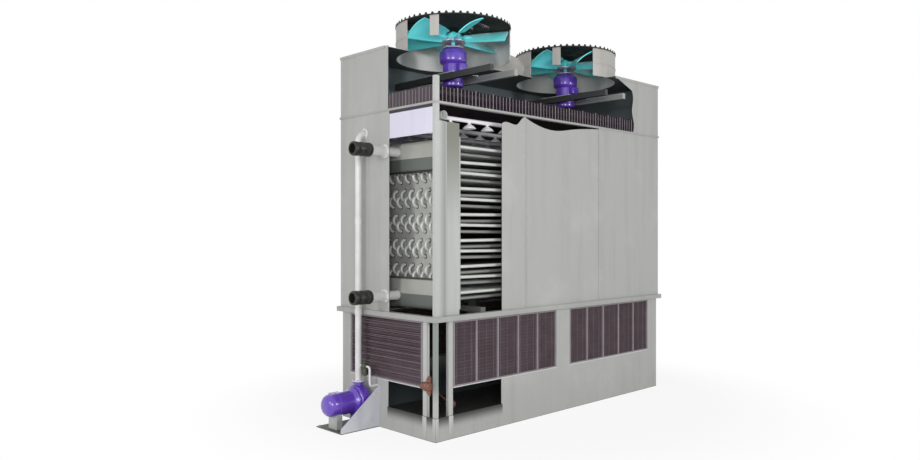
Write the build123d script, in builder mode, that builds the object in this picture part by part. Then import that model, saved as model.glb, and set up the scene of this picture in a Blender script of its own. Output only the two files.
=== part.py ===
"""Evaporative condenser shown as a cutaway, in millimetres.

Origin: centre of the casing's base on the floor. +X runs along the long side, away from the
pump end. -Y is the cut-open front and +Z is up.
"""

import os
from math import cos, radians, sin, tan

from build123d import *

# Casing
casing_length = 3510.0
casing_width = 1375.0
inlet_height = 1050.0  # floor to the middle of the seam under the coil section
coil_section_height = 1855.0
fan_section_height = 595.0
sheet = 4.0
overrun = 10.0  # how far cutting shapes pass through
gap = 0.5  # between neighbours that don't touch
panel_joint = 3.0  # between panels side by side

# Air inlet section
inlet_setback = 15.0  # from the coil section's faces
sill_height = 440.0
collar_height = 46.0
collar_depth = 62.0
collar_overhang = 28.0
corner_post_side = 35.0
upright_width = 52.0
upright_depth = 30.0
front_upright_offset = 172.0  # from the cut corner
left_upright_offset = 130.0
corner_panel_front = 180.0
corner_panel_side = 125.0
mid_post_width = 211.0

# Cut-away openings, measured from the cut corner
basin_cut_front = 840.0
basin_cut_left_share = 0.4764  # of the casing's width
basin_cut_foot = 205.0
coil_cut_front = 831.0
coil_cut_left_share = 0.4531  # of the casing's width
fan_cut_front = 2990.0
fan_cut_left_share = 0.4655  # of the casing's width
notch_depth = 95.0

# Louvres
louvre_frame_depth = 18.0
louvre_stile = 22.0
louvre_panels = 5
louvre_rows = 9
louvre_blade_depth = 64.0
louvre_blade_thickness = 5.0
louvre_tilt = 38.0

# Coil
tube_columns = 22
tube_passes = 12
tube_across = 26.0
pass_drop = 24.0  # fall of each pass along the coil
column_stagger = 58.0
bend_clearance = 30.0  # from the headers to the bends
far_clearance = 100.0  # from the right wall to the bends
coil_from_rail = 339.0  # section rail down to the top pass
coil_from_seam = 125.0  # seam up to the lowest pass
header_from_wall = 49.5  # side walls to the headers' ends
header_depth = 90.0
header_height = 280.0
header_chamfer = 34.0
header_seat = 0.3  # from the headers to the tube ends
header_wall_clearance = 150.0
header_overhang = 12.0  # past the outer tubes
inlet_header_drop = 221.0  # from the top pass to the header's underside
outlet_header_rise = 32.0  # from the seam
support_beam_width = 60.0
support_beam_height = 45.0
support_count = 3

# Refrigerant connections
connection_radius = 44.5
connection_bore = 40.0
connection_reach = 168.0  # wall to the coupling
connection_tail = 90.0  # pipe inside the coupling
coupling_radius = 63.5
coupling_length = 196.0
coupling_clearance = 0.3
coupling_stop = 4.0  # thickness of the rib that the pipes stop at
coupling_edge = 8.0
inlet_connection_drop = 22.0  # below the top pass
outlet_connection_rise = 141.0  # above the seam

# Corner column and side plate
column_front = 122.0
column_left = 35.0
column_from_rail = 145.0
side_plate_width = 182.0
side_plate_setback = 22.0

# Spray water
spray_from_rail = 90.0
spray_header_radius = 38.0
spray_wall = 3.5
spray_header_offset = 124.0  # from the left wall
spray_header_inset = 20.0
spray_branch_radius = 18.0
spray_branch_count = 3
spray_branch_from_wall = 127.5
spray_branch_end = 60.0
riser_radius = 30.0
riser_offset = 73.0  # from the left wall
riser_from_corner = 990.0
riser_bend = 50.0
riser_inner_end = 60.0  # past the spray header's axis
riser_stub_radius = 22.0
riser_stub_height = 15.0
baffle_thickness = 6.0
baffle_height = 250.0

# Fan section
rail_height = 20.0
rail_depth = 48.0
rail_overhang = 8.0
rim_height = 26.0
rim_overhang = 6.0
deck_thickness = 5.0
deck_cut_share = 0.502  # of the casing's width, where the deck is cut away
deck_cut_end = 2650.0
fan_post_front = 47.0
fan_post_left = 35.0
fan_post_height = 217.0
fan_spacing = 1785.0
eliminator_height = 140.0
eliminator_slats = 9
eliminator_slat = 7.0
eliminator_spine = 30.0
eliminator_modules = 3
torn_edge = 40.0  # depth of the waves in the front panel's cut edge

# Fan stacks
stack_height = 300.0
stack_radius = 566.0
stack_wall = 6.0
window_strip_height = 190.0

# Guards
guard_spokes = 12
guard_sides = 24
guard_bar = 9.0
guard_thickness = 30.0
guard_ring_radius = 320.0
guard_rim = 20.0
guard_overhang = 10.0
guard_hub_radius = 90.0

# Fans
blade_count = 6
blade_tip_radius = 545.0
blade_root_radius = 128.0
blade_thickness = 9.0
blade_front_pitch = 24.0  # degrees, of the half that leads
blade_back_pitch = 44.0
blade_root_front = 50.0
blade_root_back = 115.0
blade_tip_front = 175.0
blade_tip_back = 105.0
blade_shank = 40.0
blade_rise = 28.0  # above the hub's underside
hub_flats = 150.0
hub_height = 66.0
hub_disc_radius = 124.0
hub_disc_thickness = 8.0
hub_from_deck = 176.0

# Fan motors
motor_radius = 105.0
motor_from_deck = 278.0
motor_body_height = 268.0
motor_flange_radius = 134.0
motor_flange_height = 66.0
motor_boss_radius = 58.0
motor_boss_height = 62.0
motor_edge = 16.0
shaft_radius = 19.0
shaft_clearance = 0.05
shaft_depth = 110.0
mount_plate_width = 392.0
mount_plate_thickness = 8.0
mount_plate_from_deck = 170.0
mount_beam_width = 46.0
mount_beam_height = 60.0
mount_beam_offset = 165.0

# Pump
pump_axis_height = 225.0
volute_radius = 148.0
volute_from_wall = 18.0
volute_width = 112.0
volute_edge = 22.0
suction_radius = 52.0
outlet_neck_width = 80.0
outlet_neck_height = 30.0
pump_motor_radius = 104.0
pump_motor_length = 318.0
pump_motor_edge = 34.0
pump_foot_width = 130.0
pump_foot_length = 60.0
pump_foot_from_wall = 300.0
pump_foot_rise = 60.0  # up the motor's side
pump_foot_seat = 0.3
base_plate_length = 425.0
base_plate_width = 393.0
base_plate_thickness = 8.0
base_plate_from_corner = 786.0
gusset_thickness = 8.0
gusset_height = 370.0
gusset_tip = 40.0

# Bleed pipe between the riser and the basin
bleed_radius = 11.0
bleed_height = 556.0
bleed_drop = 175.0
bleed_from_corner = 815.0
bleed_valve_radius = 26.0
bleed_valve_length = 60.0
bleed_valve_gap = 40.0

# Float valve
valve_height = 476.0
valve_radius = 30.0
valve_length = 120.0
valve_from_left = 20.0
valve_from_front = 94.0
valve_bracket = 25.0
lug_thickness = 14.0
lug_height = 28.0
pin_offset = 50.0  # from the valve's axis
pin_drop = 36.0
pin_radius = 8.0
pin_clearance = 0.06
arm_length = 262.0
arm_thickness = 8.0
arm_height = 14.0
arm_drop = 38.0  # degrees below level at the low stop
float_radius = 48.0
float_sides = 12
float_edge = 22.0

# Planes and levels that many pieces share
left = -casing_length / 2
right = casing_length / 2
front = -casing_width / 2
back = casing_width / 2
seam_bottom = inlet_height - collar_height / 2
seam_top = inlet_height + collar_height / 2
rail_bottom = inlet_height + coil_section_height - rail_height / 2
rail_top = rail_bottom + rail_height
deck_top = inlet_height + coil_section_height + fan_section_height
deck_bottom = deck_top - deck_thickness
low_left = left + inlet_setback
low_right = right - inlet_setback
low_front = front + inlet_setback
low_back = back - inlet_setback
motor_bottom = deck_top - motor_from_deck
motor_body_top = motor_bottom + motor_body_height
motor_top = motor_body_top + motor_flange_height + motor_boss_height
mount_plate_bottom = deck_top - mount_plate_from_deck
hub_underside = deck_top + hub_from_deck
blade_level = hub_underside + blade_rise
stack_top = deck_top + stack_height
fan_centres = (-fan_spacing / 2, fan_spacing / 2)
header_inner = left + header_wall_clearance + header_depth
header_half = back - sheet - header_from_wall
tube_pitch = (2 * (header_half - header_overhang) - tube_across) / (tube_columns - 1)
coil_top = rail_bottom - coil_from_rail
coil_height = coil_top - seam_top - coil_from_seam - column_stagger
bend_spacing = (coil_height - tube_passes * pass_drop) / (tube_passes - 1)
inlet_header_bottom = coil_top - inlet_header_drop
outlet_header_bottom = seam_top + outlet_header_rise
inlet_connection_height = coil_top - inlet_connection_drop
outlet_connection_height = seam_top + outlet_connection_rise
column_top = rail_bottom - column_from_rail
fan_post_top = rail_top + fan_post_height
spray_height = rail_bottom - spray_from_rail
baffle_bottom = rail_bottom - baffle_height
basin_cut_left = casing_width * basin_cut_left_share
coil_cut_left = casing_width * coil_cut_left_share
fan_cut_left = casing_width * fan_cut_left_share
deck_cut = casing_width * deck_cut_share
spray_x = left + spray_header_offset
riser_x = left - riser_offset
riser_y = front + riser_from_corner
riser_entry = spray_height - spray_header_radius - riser_stub_height - riser_radius

# Angles in degrees, counterclockwise from +X, of what is left of each stack's wall
window_edge = 176.0
strip_start = 204.0
strip_end = 213.0
wall_starts = (316.0, 250.0)
full_turn = 360.0


def save(made, name):
    """Writes one named piece."""
    made.part.label = name
    export_step(made.part, f"parts/{name}.step")


def block(x0, x1, y0, y1, z0, z1):
    """A plain rectangular piece of the part being built, between two corners."""
    with BuildSketch(Plane.XY.offset(z0)) as foot:
        with Locations(((x0 + x1) / 2, (y0 + y1) / 2)):
            Rectangle(x1 - x0, y1 - y0)
    extrude(foot.sketch, amount=z1 - z0)


# Basin


def build_basin():
    wall_top = sill_height
    with BuildPart() as basin_floor:
        block(low_left, low_right, low_front, low_back, 0, sheet)
    save(basin_floor, "basin_floor")
    inner_front = low_front + sheet
    inner_back = low_back - sheet
    with BuildPart() as basin_front_wall:
        block(low_left, low_right, low_front, inner_front, sheet, basin_cut_foot)
        block(left + basin_cut_front, low_right, low_front, inner_front, basin_cut_foot, wall_top)
    save(basin_front_wall, "basin_front_wall")
    with BuildPart() as basin_left_wall:
        block(low_left, low_left + sheet, inner_front, inner_back, sheet, basin_cut_foot)
        block(low_left, low_left + sheet, front + basin_cut_left, inner_back, basin_cut_foot, wall_top)
    save(basin_left_wall, "basin_left_wall")
    with BuildPart() as basin_back_wall:
        block(low_left, low_right, inner_back, low_back, sheet, wall_top)
    save(basin_back_wall, "basin_back_wall")
    with BuildPart() as basin_right_wall:
        block(low_right - sheet, low_right, inner_front, inner_back, sheet, wall_top)
    save(basin_right_wall, "basin_right_wall")


# Air inlet section


def folded_corner(x_corner, y_corner, x_way, y_way):
    """A sheet folded round a corner, with one leg along each face."""
    long_leg = corner_panel_front
    short_leg = corner_panel_side
    with BuildSketch(Plane.XY.offset(sill_height)) as fold:
        with BuildLine():
            Polyline(
                (x_corner, y_corner),
                (x_corner + x_way * long_leg, y_corner),
                (x_corner + x_way * long_leg, y_corner + y_way * sheet),
                (x_corner + x_way * sheet, y_corner + y_way * sheet),
                (x_corner + x_way * sheet, y_corner + y_way * short_leg),
                (x_corner, y_corner + y_way * short_leg),
                close=True,
            )
        make_face()
    extrude(fold.sketch, amount=seam_bottom - sill_height)


def build_inlet_posts():
    with BuildPart() as inlet_posts:
        start = low_left + sheet
        face = low_front + sheet
        block(start, start + corner_post_side, face, face + corner_post_side, sheet, seam_bottom)
        x0 = left + front_upright_offset
        block(x0, x0 + upright_width, face, face + upright_depth, sheet, seam_bottom)
        y0 = front + left_upright_offset
        block(start, start + upright_depth, y0, y0 + upright_width, sheet, seam_bottom)
    save(inlet_posts, "inlet_posts")
    with BuildPart() as inlet_corner_panels:
        folded_corner(low_right, low_front, -1, 1)
        folded_corner(low_right, low_back, -1, -1)
        folded_corner(low_left, low_back, 1, -1)
    save(inlet_corner_panels, "inlet_corner_panels")
    with BuildPart() as inlet_mid_posts:
        half = mid_post_width / 2
        block(-half, half, low_front, low_front + sheet, sill_height, seam_bottom)
        block(-half, half, low_back - sheet, low_back, sill_height, seam_bottom)
    save(inlet_mid_posts, "inlet_mid_posts")


def louvre_bays():
    """Each bay: the plane of its outer face with x along the bay, its two ends and its panels."""
    front_start = left + front_upright_offset + upright_width
    bays = []
    half = mid_post_width / 2
    corner_end = low_right - corner_panel_front
    front_plane = Plane(origin=(0, low_front, 0), x_dir=(1, 0, 0), z_dir=(0, 1, 0))
    bays.append((front_plane, front_start, -half, louvre_panels))
    bays.append((front_plane, half, corner_end, louvre_panels))
    back_plane = Plane(origin=(0, low_back, 0), x_dir=(1, 0, 0), z_dir=(0, -1, 0))
    bays.append((back_plane, low_left + corner_panel_front, -half, louvre_panels))
    bays.append((back_plane, half, corner_end, louvre_panels))
    left_plane = Plane(origin=(low_left, 0, 0), x_dir=(0, 1, 0), z_dir=(1, 0, 0))
    left_start = front + left_upright_offset + upright_width
    bays.append((left_plane, left_start, low_back - corner_panel_side, 1))
    right_plane = Plane(origin=(low_right, 0, 0), x_dir=(0, 1, 0), z_dir=(-1, 0, 0))
    bays.append((right_plane, low_front + corner_panel_side, low_back - corner_panel_side, 1))
    return bays


def up_in(plane):
    """+1 or -1: whether the plane's own y axis points up or down."""
    return 1 if plane.y_dir.Z > 0 else -1


def louvre_frame(plane, start, end, panels):
    """A frame with its stiles, in line with the face."""
    low = sill_height
    high = seam_bottom
    pitch = (end - start - louvre_stile) / panels
    up = up_in(plane)
    with BuildSketch(plane) as frame:
        with Locations(((start + end) / 2, up * (low + high) / 2)):
            Rectangle(end - start, high - low)
        for n in range(panels):
            with Locations((start + louvre_stile / 2 + pitch * (n + 0.5), up * (low + high) / 2)):
                Rectangle(pitch - louvre_stile, high - low - 2 * louvre_stile, mode=Mode.SUBTRACT)
    extrude(frame.sketch, amount=louvre_frame_depth)


def louvre_pack(plane, start, end):
    """Tilted blades between two end plates, behind the frame."""
    low = sill_height + louvre_stile
    high = seam_bottom - louvre_stile
    pitch = (high - low) / louvre_rows
    up = up_in(plane)
    behind = plane.offset(louvre_frame_depth)
    half_depth = louvre_blade_depth / 2
    rise = half_depth * tan(radians(louvre_tilt))
    side = Plane(
        origin=behind.origin + behind.x_dir * (start + gap),
        x_dir=behind.z_dir,
        z_dir=behind.x_dir,
    )
    up_side = up_in(side)
    with BuildSketch(side) as blades:
        for n in range(louvre_rows):
            middle = up_side * (low + pitch * (n + 0.5))
            outer = middle - up_side * rise
            inner = middle + up_side * rise
            skin = louvre_blade_thickness
            with BuildLine():
                Polyline(
                    (0, outer),
                    (louvre_blade_depth, inner),
                    (louvre_blade_depth, inner + skin),
                    (0, outer + skin),
                    close=True,
                )
            make_face()
    extrude(blades.sketch, amount=end - start - 2 * gap)
    for place in (start + gap, end - gap - louvre_blade_thickness):
        with BuildSketch(behind) as end_plate:
            with Locations((place + louvre_blade_thickness / 2, up * (low + high) / 2)):
                Rectangle(louvre_blade_thickness, high - low)
        extrude(end_plate.sketch, amount=louvre_blade_depth)


def build_louvres():
    with BuildPart() as louvre_frames:
        for plane, start, end, panels in louvre_bays():
            louvre_frame(plane, start, end, panels)
    save(louvre_frames, "louvre_frames")
    with BuildPart() as louvre_packs:
        for plane, start, end, panels in louvre_bays():
            louvre_pack(plane, start, end)
    save(louvre_packs, "louvre_packs")


def ring_of_bars(overhang, depth, bottom, height):
    """Four bars round the casing that all but touch at the corners."""
    outer_x = right + overhang
    outer_y = back + overhang
    inner_y = outer_y - depth
    block(-outer_x, outer_x, -outer_y, -inner_y, bottom, bottom + height)
    block(-outer_x, outer_x, inner_y, outer_y, bottom, bottom + height)
    end = inner_y - gap
    block(-outer_x, depth - outer_x, -end, end, bottom, bottom + height)
    block(outer_x - depth, outer_x, -end, end, bottom, bottom + height)


def build_seams():
    with BuildPart() as seam_collar:
        ring_of_bars(collar_overhang, collar_depth, seam_bottom, collar_height)
    save(seam_collar, "seam_collar")
    with BuildPart() as section_rail:
        ring_of_bars(rail_overhang, rail_depth, rail_bottom, rail_height)
    save(section_rail, "section_rail")


# Coil section


def wavy_panel(x0, x1, low, high, waves):
    """A front panel whose top edge is cut in waves. Waves are (share of width, share of depth)."""
    plane = Plane(origin=(0, front, 0), x_dir=(1, 0, 0), z_dir=(0, -1, 0))
    width = x1 - x0
    with BuildSketch(plane) as outline:
        with BuildLine():
            points = [(x0 + width * along, high - notch_depth * down) for along, down in waves]
            Spline(*points)
            Polyline(points[-1], (x1, low), (x0, low), points[0])
        make_face()
    extrude(outline.sketch, amount=-sheet)


def build_coil_casing():
    third = casing_length / 3
    low = seam_top
    high = rail_bottom
    first_wave_shares = ((0, 1.0), (0.35, 0.85), (0.62, 0.9), (0.8, 0.35), (1, 0))
    second_wave_shares = ((0, 0.1), (0.18, 0.75), (0.4, 0.95), (0.6, 0.6), (0.8, 0.3), (1, 0.1))
    with BuildPart() as coil_front_panels:
        wavy_panel(left + coil_cut_front, left + third - panel_joint, low, high, first_wave_shares)
        wavy_panel(left + third, left + 2 * third - panel_joint, low, high, second_wave_shares)
        block(left + 2 * third, right, front, front + sheet, low, high)
    save(coil_front_panels, "coil_front_panels")
    with BuildPart() as coil_back_panels:
        for n in range(3):
            x0 = left + n * third
            x1 = x0 + third - (panel_joint if n < 2 else 0)
            block(x0, x1, back - sheet, back, low, high)
    save(coil_back_panels, "coil_back_panels")
    with BuildPart() as coil_left_panel:
        block(left, left + sheet, front + coil_cut_left, back - sheet, low, high)
        for height in (inlet_connection_height, outlet_connection_height):
            wall_hole(0, height, connection_radius + gap)
        wall_hole(riser_y, riser_entry, riser_radius + gap)
    save(coil_left_panel, "coil_left_panel")
    with BuildPart() as coil_right_panel:
        block(right - sheet, right, front + sheet, back - sheet, low, high)
    save(coil_right_panel, "coil_right_panel")


def wall_hole(y, z, radius):
    """A round hole through the left wall."""
    plane = Plane(origin=(left - overrun, y, z), x_dir=(0, 1, 0), z_dir=(1, 0, 0))
    with BuildSketch(plane) as hole:
        Circle(radius)
    extrude(hole.sketch, amount=sheet + 2 * overrun, mode=Mode.SUBTRACT)


def build_corner_column():
    with BuildPart() as coil_corner_column:
        corner_angle(column_front, column_left, seam_top, column_top)
    save(coil_corner_column, "coil_corner_column")
    with BuildPart() as coil_side_plate:
        x0 = left + column_front - side_plate_setback
        x1 = left + column_front + side_plate_width
        y0 = front + side_plate_setback
        block(x0, x1, y0, y0 + sheet, seam_top, column_top)
        block(x0, x0 + sheet, front + sheet, y0, seam_top, column_top)
    save(coil_side_plate, "coil_side_plate")


def corner_angle(front_leg, left_leg, low, high):
    """A sheet folded round the cut corner."""
    with BuildSketch(Plane.XY.offset(low)) as fold:
        with BuildLine():
            Polyline(
                (left, front),
                (left + front_leg, front),
                (left + front_leg, front + sheet),
                (left + sheet, front + sheet),
                (left + sheet, front + left_leg),
                (left, front + left_leg),
                close=True,
            )
        make_face()
    extrude(fold.sketch, amount=high - low)


def serpentine(y, top):
    """One tube column: sloping passes from header to header, joined by return bends."""
    x_near = header_inner + bend_clearance
    x_far = right - far_clearance
    level = top
    x_start = header_inner + header_seat
    points = [(x_start, level), (x_near, level)]
    for n in range(tube_passes):
        rightward = n % 2 == 0
        x_end = x_far if rightward else x_near
        level -= pass_drop
        if n == tube_passes - 1:
            points.append((x_near, level))
            points.append((x_start, level))
        else:
            points.append((x_end, level))
            level -= bend_spacing
            points.append((x_end, level))
    with BuildPart() as column:
        with BuildLine(Plane.XZ.offset(-y)) as path:
            Polyline(*points)
        with BuildSketch(Plane(origin=path.line @ 0, z_dir=(1, 0, 0))):
            RegularPolygon(tube_across / 2, 6, major_radius=False)
        sweep(transition=Transition.RIGHT)
    return column.part


def header_box(bottom):
    """A long box across the coil with its two outer edges cut off."""
    outer = header_inner - header_depth
    top = bottom + header_height
    with BuildSketch(Plane.XZ.offset(-header_half)) as section:
        with BuildLine():
            Polyline(
                (outer + header_chamfer, bottom),
                (header_inner, bottom),
                (header_inner, top),
                (outer + header_chamfer, top),
                (outer, top - header_chamfer),
                (outer, bottom + header_chamfer),
                close=True,
            )
        make_face()
    extrude(section.sketch, amount=2 * header_half)


def build_coil():
    with BuildPart() as coil_tubes:
        for n in range(tube_columns):
            y = (n - (tube_columns - 1) / 2) * tube_pitch
            add(serpentine(y, coil_top - column_stagger * (n % 2)))
    save(coil_tubes, "coil_tubes")
    with BuildPart() as coil_headers:
        header_box(inlet_header_bottom)
        header_box(outlet_header_bottom)
    save(coil_headers, "coil_headers")
    with BuildPart() as coil_support_beams:
        pitch = casing_length / support_count
        half = back - sheet
        level = seam_top
        for n in range(support_count):
            x = left + pitch * (n + 0.5)
            x0 = x - support_beam_width / 2
            block(x0, x0 + support_beam_width, -half, half, level, level + support_beam_height)
    save(coil_support_beams, "coil_support_beams")


def build_connections():
    heights = (inlet_connection_height, outlet_connection_height)
    reach = header_wall_clearance + connection_reach + connection_tail
    with BuildPart() as connection_pipes:
        for height in heights:
            outward_tube(header_inner - header_depth, height, connection_radius, connection_bore, reach)
    save(connection_pipes, "connection_pipes")
    bore = connection_radius + coupling_clearance
    stop_x = left - connection_reach - connection_tail - coupling_clearance
    middle_of_wall = (bore + coupling_radius) / 2
    with BuildPart() as couplings:
        for height in heights:
            outward_tube(left - connection_reach, height, coupling_radius, bore, coupling_length)
            outward_tube(stop_x, height, middle_of_wall, connection_bore, coupling_stop)
        outer_rims = couplings.edges().filter_by(GeomType.CIRCLE)
        chamfer(outer_rims.filter_by(lambda e: e.radius > coupling_radius - gap), coupling_edge)
    save(couplings, "couplings")


def outward_tube(x, height, radius, bore, length):
    """A tube along -X from x."""
    with BuildSketch(Plane(origin=(x, 0, height), z_dir=(-1, 0, 0))) as ring:
        Circle(radius)
        Circle(bore, mode=Mode.SUBTRACT)
    extrude(ring.sketch, amount=length)


def build_spray():
    length = casing_width - 2 * spray_header_inset
    spacing = (casing_width - 2 * spray_branch_from_wall) / (spray_branch_count - 1)
    branch_start = spray_x + spray_header_radius
    header_start = Plane(origin=(spray_x, front + spray_header_inset, spray_height), z_dir=(0, 1, 0))
    with BuildPart() as spray_header:
        with BuildSketch(header_start):
            Circle(spray_header_radius)
            Circle(spray_header_radius - spray_wall, mode=Mode.SUBTRACT)
        extrude(amount=length)
    save(spray_header, "spray_header")
    with BuildPart() as spray_branches:
        for n in range(spray_branch_count):
            y = (n - (spray_branch_count - 1) / 2) * spacing
            with BuildSketch(Plane(origin=(branch_start, y, spray_height), z_dir=(1, 0, 0))):
                Circle(spray_branch_radius)
        extrude(amount=right - spray_branch_end - branch_start)
    save(spray_branches, "spray_branches")
    with BuildPart() as riser_pipe:
        base = pump_axis_height + volute_radius + outlet_neck_height
        with BuildLine(Plane.XZ.offset(-riser_y)) as route:
            Polyline(
                (riser_x, base),
                (riser_x, riser_entry - riser_bend),
                (riser_x + riser_bend, riser_entry),
                (spray_x + riser_inner_end, riser_entry),
            )
        with BuildSketch(Plane(origin=route.line @ 0, z_dir=(0, 0, 1))):
            Circle(riser_radius)
        sweep(transition=Transition.RIGHT)
        with BuildSketch(Plane(origin=(spray_x, riser_y, riser_entry), z_dir=(0, 0, 1))):
            Circle(riser_stub_radius)
        extrude(amount=riser_radius + riser_stub_height)
    save(riser_pipe, "riser_pipe")
    with BuildPart() as spray_baffles:
        x0 = left + sheet
        x1 = x0 + baffle_thickness
        block(x0, x1, front + fan_post_left, back - sheet, baffle_bottom, rail_bottom)
        with BuildSketch(Plane(origin=(left, riser_y, riser_entry), z_dir=(1, 0, 0))):
            Circle(riser_radius + gap)
        extrude(amount=spray_header_offset, mode=Mode.SUBTRACT)
        y0 = back - sheet - baffle_thickness
        block(x1 + gap, right - sheet, y0, y0 + baffle_thickness, baffle_bottom, rail_bottom)
    save(spray_baffles, "spray_baffles")


# Fan section


def build_fan_casing():
    with BuildPart() as corner_post_upper:
        corner_angle(fan_post_front, fan_post_left, column_top, rail_bottom)
        corner_angle(fan_post_front, fan_post_left, rail_top, fan_post_top)
    save(corner_post_upper, "corner_post_upper")
    with BuildPart() as fan_back_panel:
        block(left, right, back - sheet, back, rail_top, deck_bottom)
    save(fan_back_panel, "fan_back_panel")
    with BuildPart() as fan_left_panel:
        block(left, left + sheet, front + fan_cut_left, back - sheet, rail_top, deck_bottom)
    save(fan_left_panel, "fan_left_panel")
    with BuildPart() as fan_right_panel:
        block(right - sheet, right, front + sheet, back - sheet, rail_top, deck_bottom)
    save(fan_right_panel, "fan_right_panel")
    with BuildPart() as fan_front_panel:
        edge = left + fan_cut_front
        high = deck_bottom
        height = high - rail_top
        wave_shares = ((0.06, 0), (0.5, 0.18), (-0.4, 0.4), (0.1, 0.62), (-0.5, 0.8))
        with BuildSketch(Plane(origin=(0, front, 0), x_dir=(1, 0, 0), z_dir=(0, -1, 0))):
            with BuildLine():
                waves = [(edge + torn_edge * x, rail_top + height * z) for x, z in wave_shares]
                Line((right, high), (right, rail_top))
                Line((right, rail_top), waves[0])
                Spline(*waves)
                Line(waves[-1], (left + deck_cut_end, high))
                Line((left + deck_cut_end, high), (right, high))
            make_face()
        extrude(amount=-sheet)
    save(fan_front_panel, "fan_front_panel")


def build_deck():
    with BuildPart() as fan_deck:
        cut_y = front + deck_cut
        cut_x = left + deck_cut_end
        edge_x = right + rim_overhang
        edge_y = back + rim_overhang
        with BuildSketch(Plane.XY.offset(deck_bottom)):
            with BuildLine():
                Polyline(
                    (-edge_x, cut_y),
                    (cut_x, cut_y),
                    (cut_x, -edge_y),
                    (edge_x, -edge_y),
                    (edge_x, edge_y),
                    (-edge_x, edge_y),
                    close=True,
                )
            make_face()
            for x in fan_centres:
                with Locations((x, 0)):
                    Circle(stack_radius - stack_wall, mode=Mode.SUBTRACT)
        extrude(amount=deck_thickness)
        low = deck_top - rim_height
        block(-edge_x, edge_x, back, edge_y, low, deck_bottom)
        block(-edge_x, left, cut_y, back, low, deck_bottom)
        block(right, edge_x, front, back, low, deck_bottom)
        block(cut_x, edge_x, -edge_y, front, low, deck_bottom)
    save(fan_deck, "fan_deck")


def build_eliminators():
    with BuildPart() as drift_eliminators:
        length = (casing_length - 2 * sheet) / eliminator_modules
        depth = casing_width - 2 * sheet - 2 * gap
        pitch = (length - panel_joint - eliminator_slat) / (eliminator_slats - 1)
        for n in range(eliminator_modules):
            x = left + sheet + length * (n + 0.5)
            with BuildSketch(Plane.XY.offset(rail_top)) as comb:
                with Locations((x, 0)):
                    Rectangle(length - panel_joint, eliminator_spine)
                    with GridLocations(pitch, 1, eliminator_slats, 1):
                        Rectangle(eliminator_slat, depth)
            extrude(comb.sketch, amount=eliminator_height)
    save(drift_eliminators, "drift_eliminators")


# Fans


def stack_wall_piece(x, start, end, low):
    """Part of a stack's wall between two angles, from a height to the top."""
    inner = stack_radius - stack_wall
    corners = [(inner, low), (stack_radius, low), (stack_radius, stack_top), (inner, stack_top)]
    with BuildSketch(Plane(origin=(x, 0, 0), x_dir=(1, 0, 0), z_dir=(0, -1, 0))) as profile:
        with BuildLine():
            Polyline(*corners, close=True)
        make_face()
    with BuildPart(mode=Mode.PRIVATE) as piece:
        revolve(profile.sketch, axis=Axis((x, 0, 0), (0, 0, 1)), revolution_arc=end - start)
    return piece.part.rotate(Axis((x, 0, 0), (0, 0, 1)), start)


def build_stacks():
    with BuildPart() as fan_stacks:
        for x, wall_start in zip(fan_centres, wall_starts):
            add(stack_wall_piece(x, wall_start, window_edge + full_turn, deck_top))
            add(stack_wall_piece(x, strip_start, strip_end, stack_top - window_strip_height))
    save(fan_stacks, "fan_stacks")


def build_guards():
    rim = stack_radius + guard_overhang
    with BuildPart() as fan_guards:
        with BuildSketch(Plane.XY.offset(stack_top)):
            for x in fan_centres:
                with Locations((x, 0)):
                    RegularPolygon(rim, guard_sides)
                    RegularPolygon(rim - guard_rim, guard_sides, mode=Mode.SUBTRACT)
                    RegularPolygon(guard_ring_radius, guard_sides)
                    RegularPolygon(guard_ring_radius - guard_bar, guard_sides, mode=Mode.SUBTRACT)
                    RegularPolygon(guard_hub_radius, guard_spokes)
                    with PolarLocations(0, guard_spokes):
                        Rectangle(rim - guard_rim / 2, guard_bar, align=(Align.MIN, Align.CENTER))
        extrude(amount=guard_thickness)
    save(fan_guards, "fan_guards")


def one_blade():
    """A blade folded along its length and cut to its outline: wide and flat at the tip."""
    front_run = cos(radians(blade_front_pitch))
    front_rise = sin(radians(blade_front_pitch))
    back_run = cos(radians(blade_back_pitch))
    back_rise = sin(radians(blade_back_pitch))
    lead = blade_tip_front
    trail = blade_root_back
    root = Vector(blade_root_radius, 0, blade_level)
    with BuildPart(mode=Mode.PRIVATE) as blade:
        with BuildSketch(Plane(origin=root, x_dir=(0, 1, 0), z_dir=(1, 0, 0))):
            with BuildLine():
                Polyline(
                    (-lead * front_run, -lead * front_rise),
                    (0, 0),
                    (trail * back_run, trail * back_rise),
                    (trail * back_run, trail * back_rise + blade_thickness),
                    (0, blade_thickness),
                    (-lead * front_run, -lead * front_rise + blade_thickness),
                    close=True,
                )
            make_face()
        extrude(amount=blade_tip_radius - blade_root_radius)
        with BuildSketch(Plane.XY.offset(blade_level - lead)) as outline:
            with BuildLine():
                Polyline(
                    (blade_root_radius, -blade_root_front * front_run),
                    (blade_tip_radius, -blade_tip_front * front_run),
                    (blade_tip_radius, blade_tip_back * back_run),
                    (blade_root_radius, blade_root_back * back_run),
                    close=True,
                )
            make_face()
            Circle(blade_tip_radius, mode=Mode.INTERSECT)
        extrude(outline.sketch, amount=2 * lead, mode=Mode.INTERSECT)
        with BuildSketch(Plane(origin=(hub_flats / 2, 0, blade_level), z_dir=(1, 0, 0))) as shank:
            Rectangle(blade_shank, blade_shank)
        extrude(shank.sketch, amount=blade_root_radius + blade_shank - hub_flats / 2)
    return blade.part


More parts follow.
